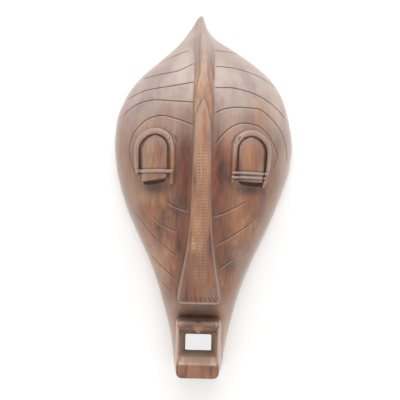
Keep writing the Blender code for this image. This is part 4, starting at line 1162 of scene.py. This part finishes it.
def lip_rings():
    """Sections of the roll from its -X end to the other."""
    rings = []
    for x in np.linspace(-LIP_HALF_LENGTH, LIP_HALF_LENGTH, 90):
        point = max(0.0, 1 - abs(x) / LIP_POINT["half_width"])
        dip = max(0.0, 1 - abs(x) / LIP_DIP["half_width"])
        end = float(ease((LIP_HALF_LENGTH - abs(x)) / LIP_END["length"]))
        foot = LIP_FOOT - LIP_POINT["drop"] * point
        top = LIP_TOP - LIP_DIP["drop"] * dip - LIP_END["drop"] * (1 - end)
        relief = LIP_RELIEF * (LIP_END["relief"] + (1 - LIP_END["relief"]) * end) - LIP_DIP["scoop"] * dip
        turns = np.radians(np.linspace(-85, 85, 15))
        centre, reach = (foot + top) / 2, (top - foot) / 2
        ring = [(x, MOUTH_FRONT - LIP_ROOT, foot)]
        for a in turns:
            ring.append((x, MOUTH_FRONT + MM + (relief - MM) * math.cos(a), centre + reach * math.sin(a)))
        rings.append(ring + [(x, MOUTH_FRONT - LIP_ROOT, top)])
    return rings


lip = skin("carved_upper_lip", lip_rings(), wood)
x, depth, z = places_of(lip.data)
# The top edge and both ends are paled as highlights over handling, and the middle is darkened as painted
# shade.
# The foot is painted pale along the point as a highlight, else dark as painted shade under the roll.
mark(lip.data, "wear_and_highlight", 0.30 * ease((z - LIP_TOP + 0.0040) / 0.002) + 0.3 * ease((abs(x) - 0.020) / 0.003))
mark(lip.data, "soot_and_shade", 0.45 * ease((0.018 - abs(x)) / 0.006) * ease((z - LIP_FOOT) / 0.002))
foot = LIP_FOOT - LIP_POINT["drop"] * np.maximum(0.0, 1 - abs(x) / LIP_POINT["half_width"])
lowest = ease((foot + 0.0016 - z) / 0.0008)
mark(lip.data, "wear_and_highlight", 0.5 * lowest * (abs(x) < LIP_POINT["half_width"]))
mark(lip.data, "cut", 0.5 * lowest * (abs(x) > LIP_POINT["half_width"]))
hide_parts("upper_lip")

# ---- Hanger -------------------------------------------------------------------------------------------
# A stamped steel strap, folded round the bar of a wire D-ring, is held in the back's recess by a wood screw.
# All three are zinc-plated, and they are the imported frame's own meshes.


ZINC_CLOUD = 10 / 9  # mm
ZINC_SCRATCH = 1 / 6  # mm, coarser than real scratches, which would not show


def zinc_plated_steel():
    """Bright zinc plating, which the eye sees as a pale sheen with slight clouds and fine scratches."""
    made, tree = new_material("zinc_plated_steel")
    cloud = pattern(tree, (1, 1, 1), ZINC_CLOUD, 3)
    scratch = pattern(tree, (1, 1, 0.1), ZINC_SCRATCH, 1)
    inputs = {
        "Base Color": add(tree, "ValToRGB", [cloud], stops=((0.35, "#a39f92"), (0.65, "#cbc8bf"))),
        "Roughness": add(tree, "MapRange", [cloud, 0.3, 0.7, 0.28, 0.46], **SOFT),
        "Metallic": 1.0,
        "Normal": add(tree, "Bump", {"Strength": 0.1, "Distance": 0.0001, "Height": scratch}),
    }
    add(tree, "OutputMaterial", [add(tree, "BsdfPrincipled", inputs)], None)
    return made


zinc = zinc_plated_steel()
for name in ("hanger_strap", "hanger_screw", "hanger_ring"):
    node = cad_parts[name]
    node.data.materials.clear()
    node.data.materials.append(zinc)

# ---- Stage, light and camera --------------------------------------------------------------------------
# A white wall behind the mask and a pale floor below it, under a soft lamp overhead. A wider lamp stands
# further off in front, and another behind lights the back when it is looked at through the one-sided wall.


WINDOW = {"half": 0.022, "z": -0.374, "tall": 0.020}  # the wall's patch behind the mouth's opening


def pale_paint(name, one_sided):
    """Matt white paint, which the camera sees a little brighter than it lights."""
    made, tree = new_material(name)
    seen = add(tree, "LightPath", output="Is Camera Ray")
    tones = {0: seen, 6: (0.82, 0.82, 0.82, 1.0), 7: (1.10, 1.10, 1.10, 1.0)}
    paint = add(tree, "BsdfDiffuse", {"Color": add(tree, "Mix", tones, 2, data_type="RGBA")})
    if one_sided:
        # Painted light: the patch of wall that shows through the mouth glows white for the camera, though
        # little light reaches it there.
        place = add(tree, "SeparateXYZ", [add(tree, "NewGeometry", output="Position")], None)
        aside = add(tree, "Math", [place["X"], 0.0, WINDOW["half"]], operation="COMPARE")
        level = add(tree, "Math", [place["Z"], WINDOW["z"], WINDOW["tall"]], operation="COMPARE")
        through = add(tree, "Math", [aside, level], operation="MULTIPLY")
        through = add(tree, "Math", [through, seen], operation="MULTIPLY")
        white = add(tree, "Emission", {"Color": (1, 1, 1, 1), "Strength": 0.84})
        paint = add(tree, "MixShader", [through, paint, white])
        back = add(tree, "NewGeometry", output="Backfacing")
        paint = add(tree, "MixShader", [back, paint, add(tree, "BsdfTransparent")])
    add(tree, "OutputMaterial", [paint], None)
    return made


def plane(name, corners, finish):
    """One flat four-cornered surface of the stage."""
    mesh = bpy.data.meshes.new(name)
    mesh.from_pydata(corners, [], [(0, 1, 2, 3)])
    mesh.materials.append(finish)
    made = bpy.data.objects.new(name, mesh)
    bpy.context.scene.collection.objects.link(made)
    return made


FLOOR = -0.66
BEHIND = 0.0006  # the wall stands this far behind the mask's back
wall = plane(
    "wall",
    [(-2.5, BEHIND, FLOOR), (2.5, BEHIND, FLOOR), (2.5, BEHIND, 2.2), (-2.5, BEHIND, 2.2)],
    pale_paint("matt_white_wall_paint", one_sided=True),
)
wall.visible_shadow = False
plane(
    "floor",
    [(-4, -1.6, FLOOR), (4, -1.6, FLOOR), (4, 1.6, FLOOR), (-4, 1.6, FLOOR)],
    pale_paint("pale_floor_paint", one_sided=False),
)


def lamp(name, place, aim, width, height, power):
    """A rectangular soft lamp at a place, turned towards its aim, with its power in watts."""
    data = bpy.data.lights.new(name, "AREA")
    data.shape = "RECTANGLE"
    data.size = width
    data.size_y = height
    data.energy = power
    made = bpy.data.objects.new(name, data)
    made.location = place
    made.rotation_euler = (Vector(aim) - Vector(place)).to_track_quat("-Z", "Y").to_euler()
    bpy.context.scene.collection.objects.link(made)


lamp("overhead_softbox", (0.0, -0.75, 1.15), (0.0, -0.05, -0.15), 1.4, 1.2, 13.0)
lamp("front_softbox", (0.0, -2.6, 0.1), (0.0, 0.0, -0.2), 2.4, 1.6, 14.0)
lamp("back_softbox", (0.3, 1.6, 0.5), (0.0, 0.0, -0.2), 1.6, 1.6, 8.0)

# A white surround lights the mask evenly and shows in its gloss, weakest from straight in front.
world = bpy.data.worlds.new("white_studio")
bpy.context.scene.world = world
world.use_nodes = True
tree = world.node_tree
tree.nodes.clear()
path = add(tree, "LightPath", output=None)
direction = add(tree, "SeparateXYZ", [add(tree, "TexCoord", output="Generated")], "Y")
ahead = add(tree, "MapRange", [direction, -0.95, -0.45, 0.25, 0.9], **SOFT)
glossy = add(tree, "Math", [path["Is Glossy Ray"], ahead], operation="MULTIPLY")
diffuse = add(tree, "Math", [path["Is Diffuse Ray"], 0.55], operation="MULTIPLY")
level = path["Is Camera Ray"]
for share in (path["Is Transmission Ray"], glossy, diffuse):
    level = add(tree, "Math", [level, share], operation="MAXIMUM")
background = add(tree, "Background", {"Color": (1, 1, 1, 1), "Strength": level})
add(tree, "OutputWorld", [background], None)

# The camera is 1 m in front of the wall, about half-way up the mask, and a little tilted.
camera = bpy.data.cameras.new("camera")
camera.sensor_width = 36.0
camera.lens = 68.2
seat = bpy.data.objects.new("camera", camera)
yaw, pitch, roll = -0.0097, 0.0038, 0.0235  # radians
ahead = Vector((math.sin(yaw) * math.cos(pitch), math.cos(yaw) * math.cos(pitch), math.sin(pitch)))
right = Vector((math.cos(yaw), -math.sin(yaw), 0.0))
up = right.cross(ahead)
turned_right = math.cos(roll) * right + math.sin(roll) * up
turned_up = -math.sin(roll) * right + math.cos(roll) * up
turn = Matrix((turned_right, turned_up, -ahead)).transposed()
seat.matrix_world = Matrix.Translation((0.0073, -1.0, 0.2143 - HOOK_HEIGHT)) @ turn.to_4x4()
bpy.context.scene.collection.objects.link(seat)
bpy.context.scene.camera = seat
bpy.context.scene.view_settings.view_transform = "Standard"
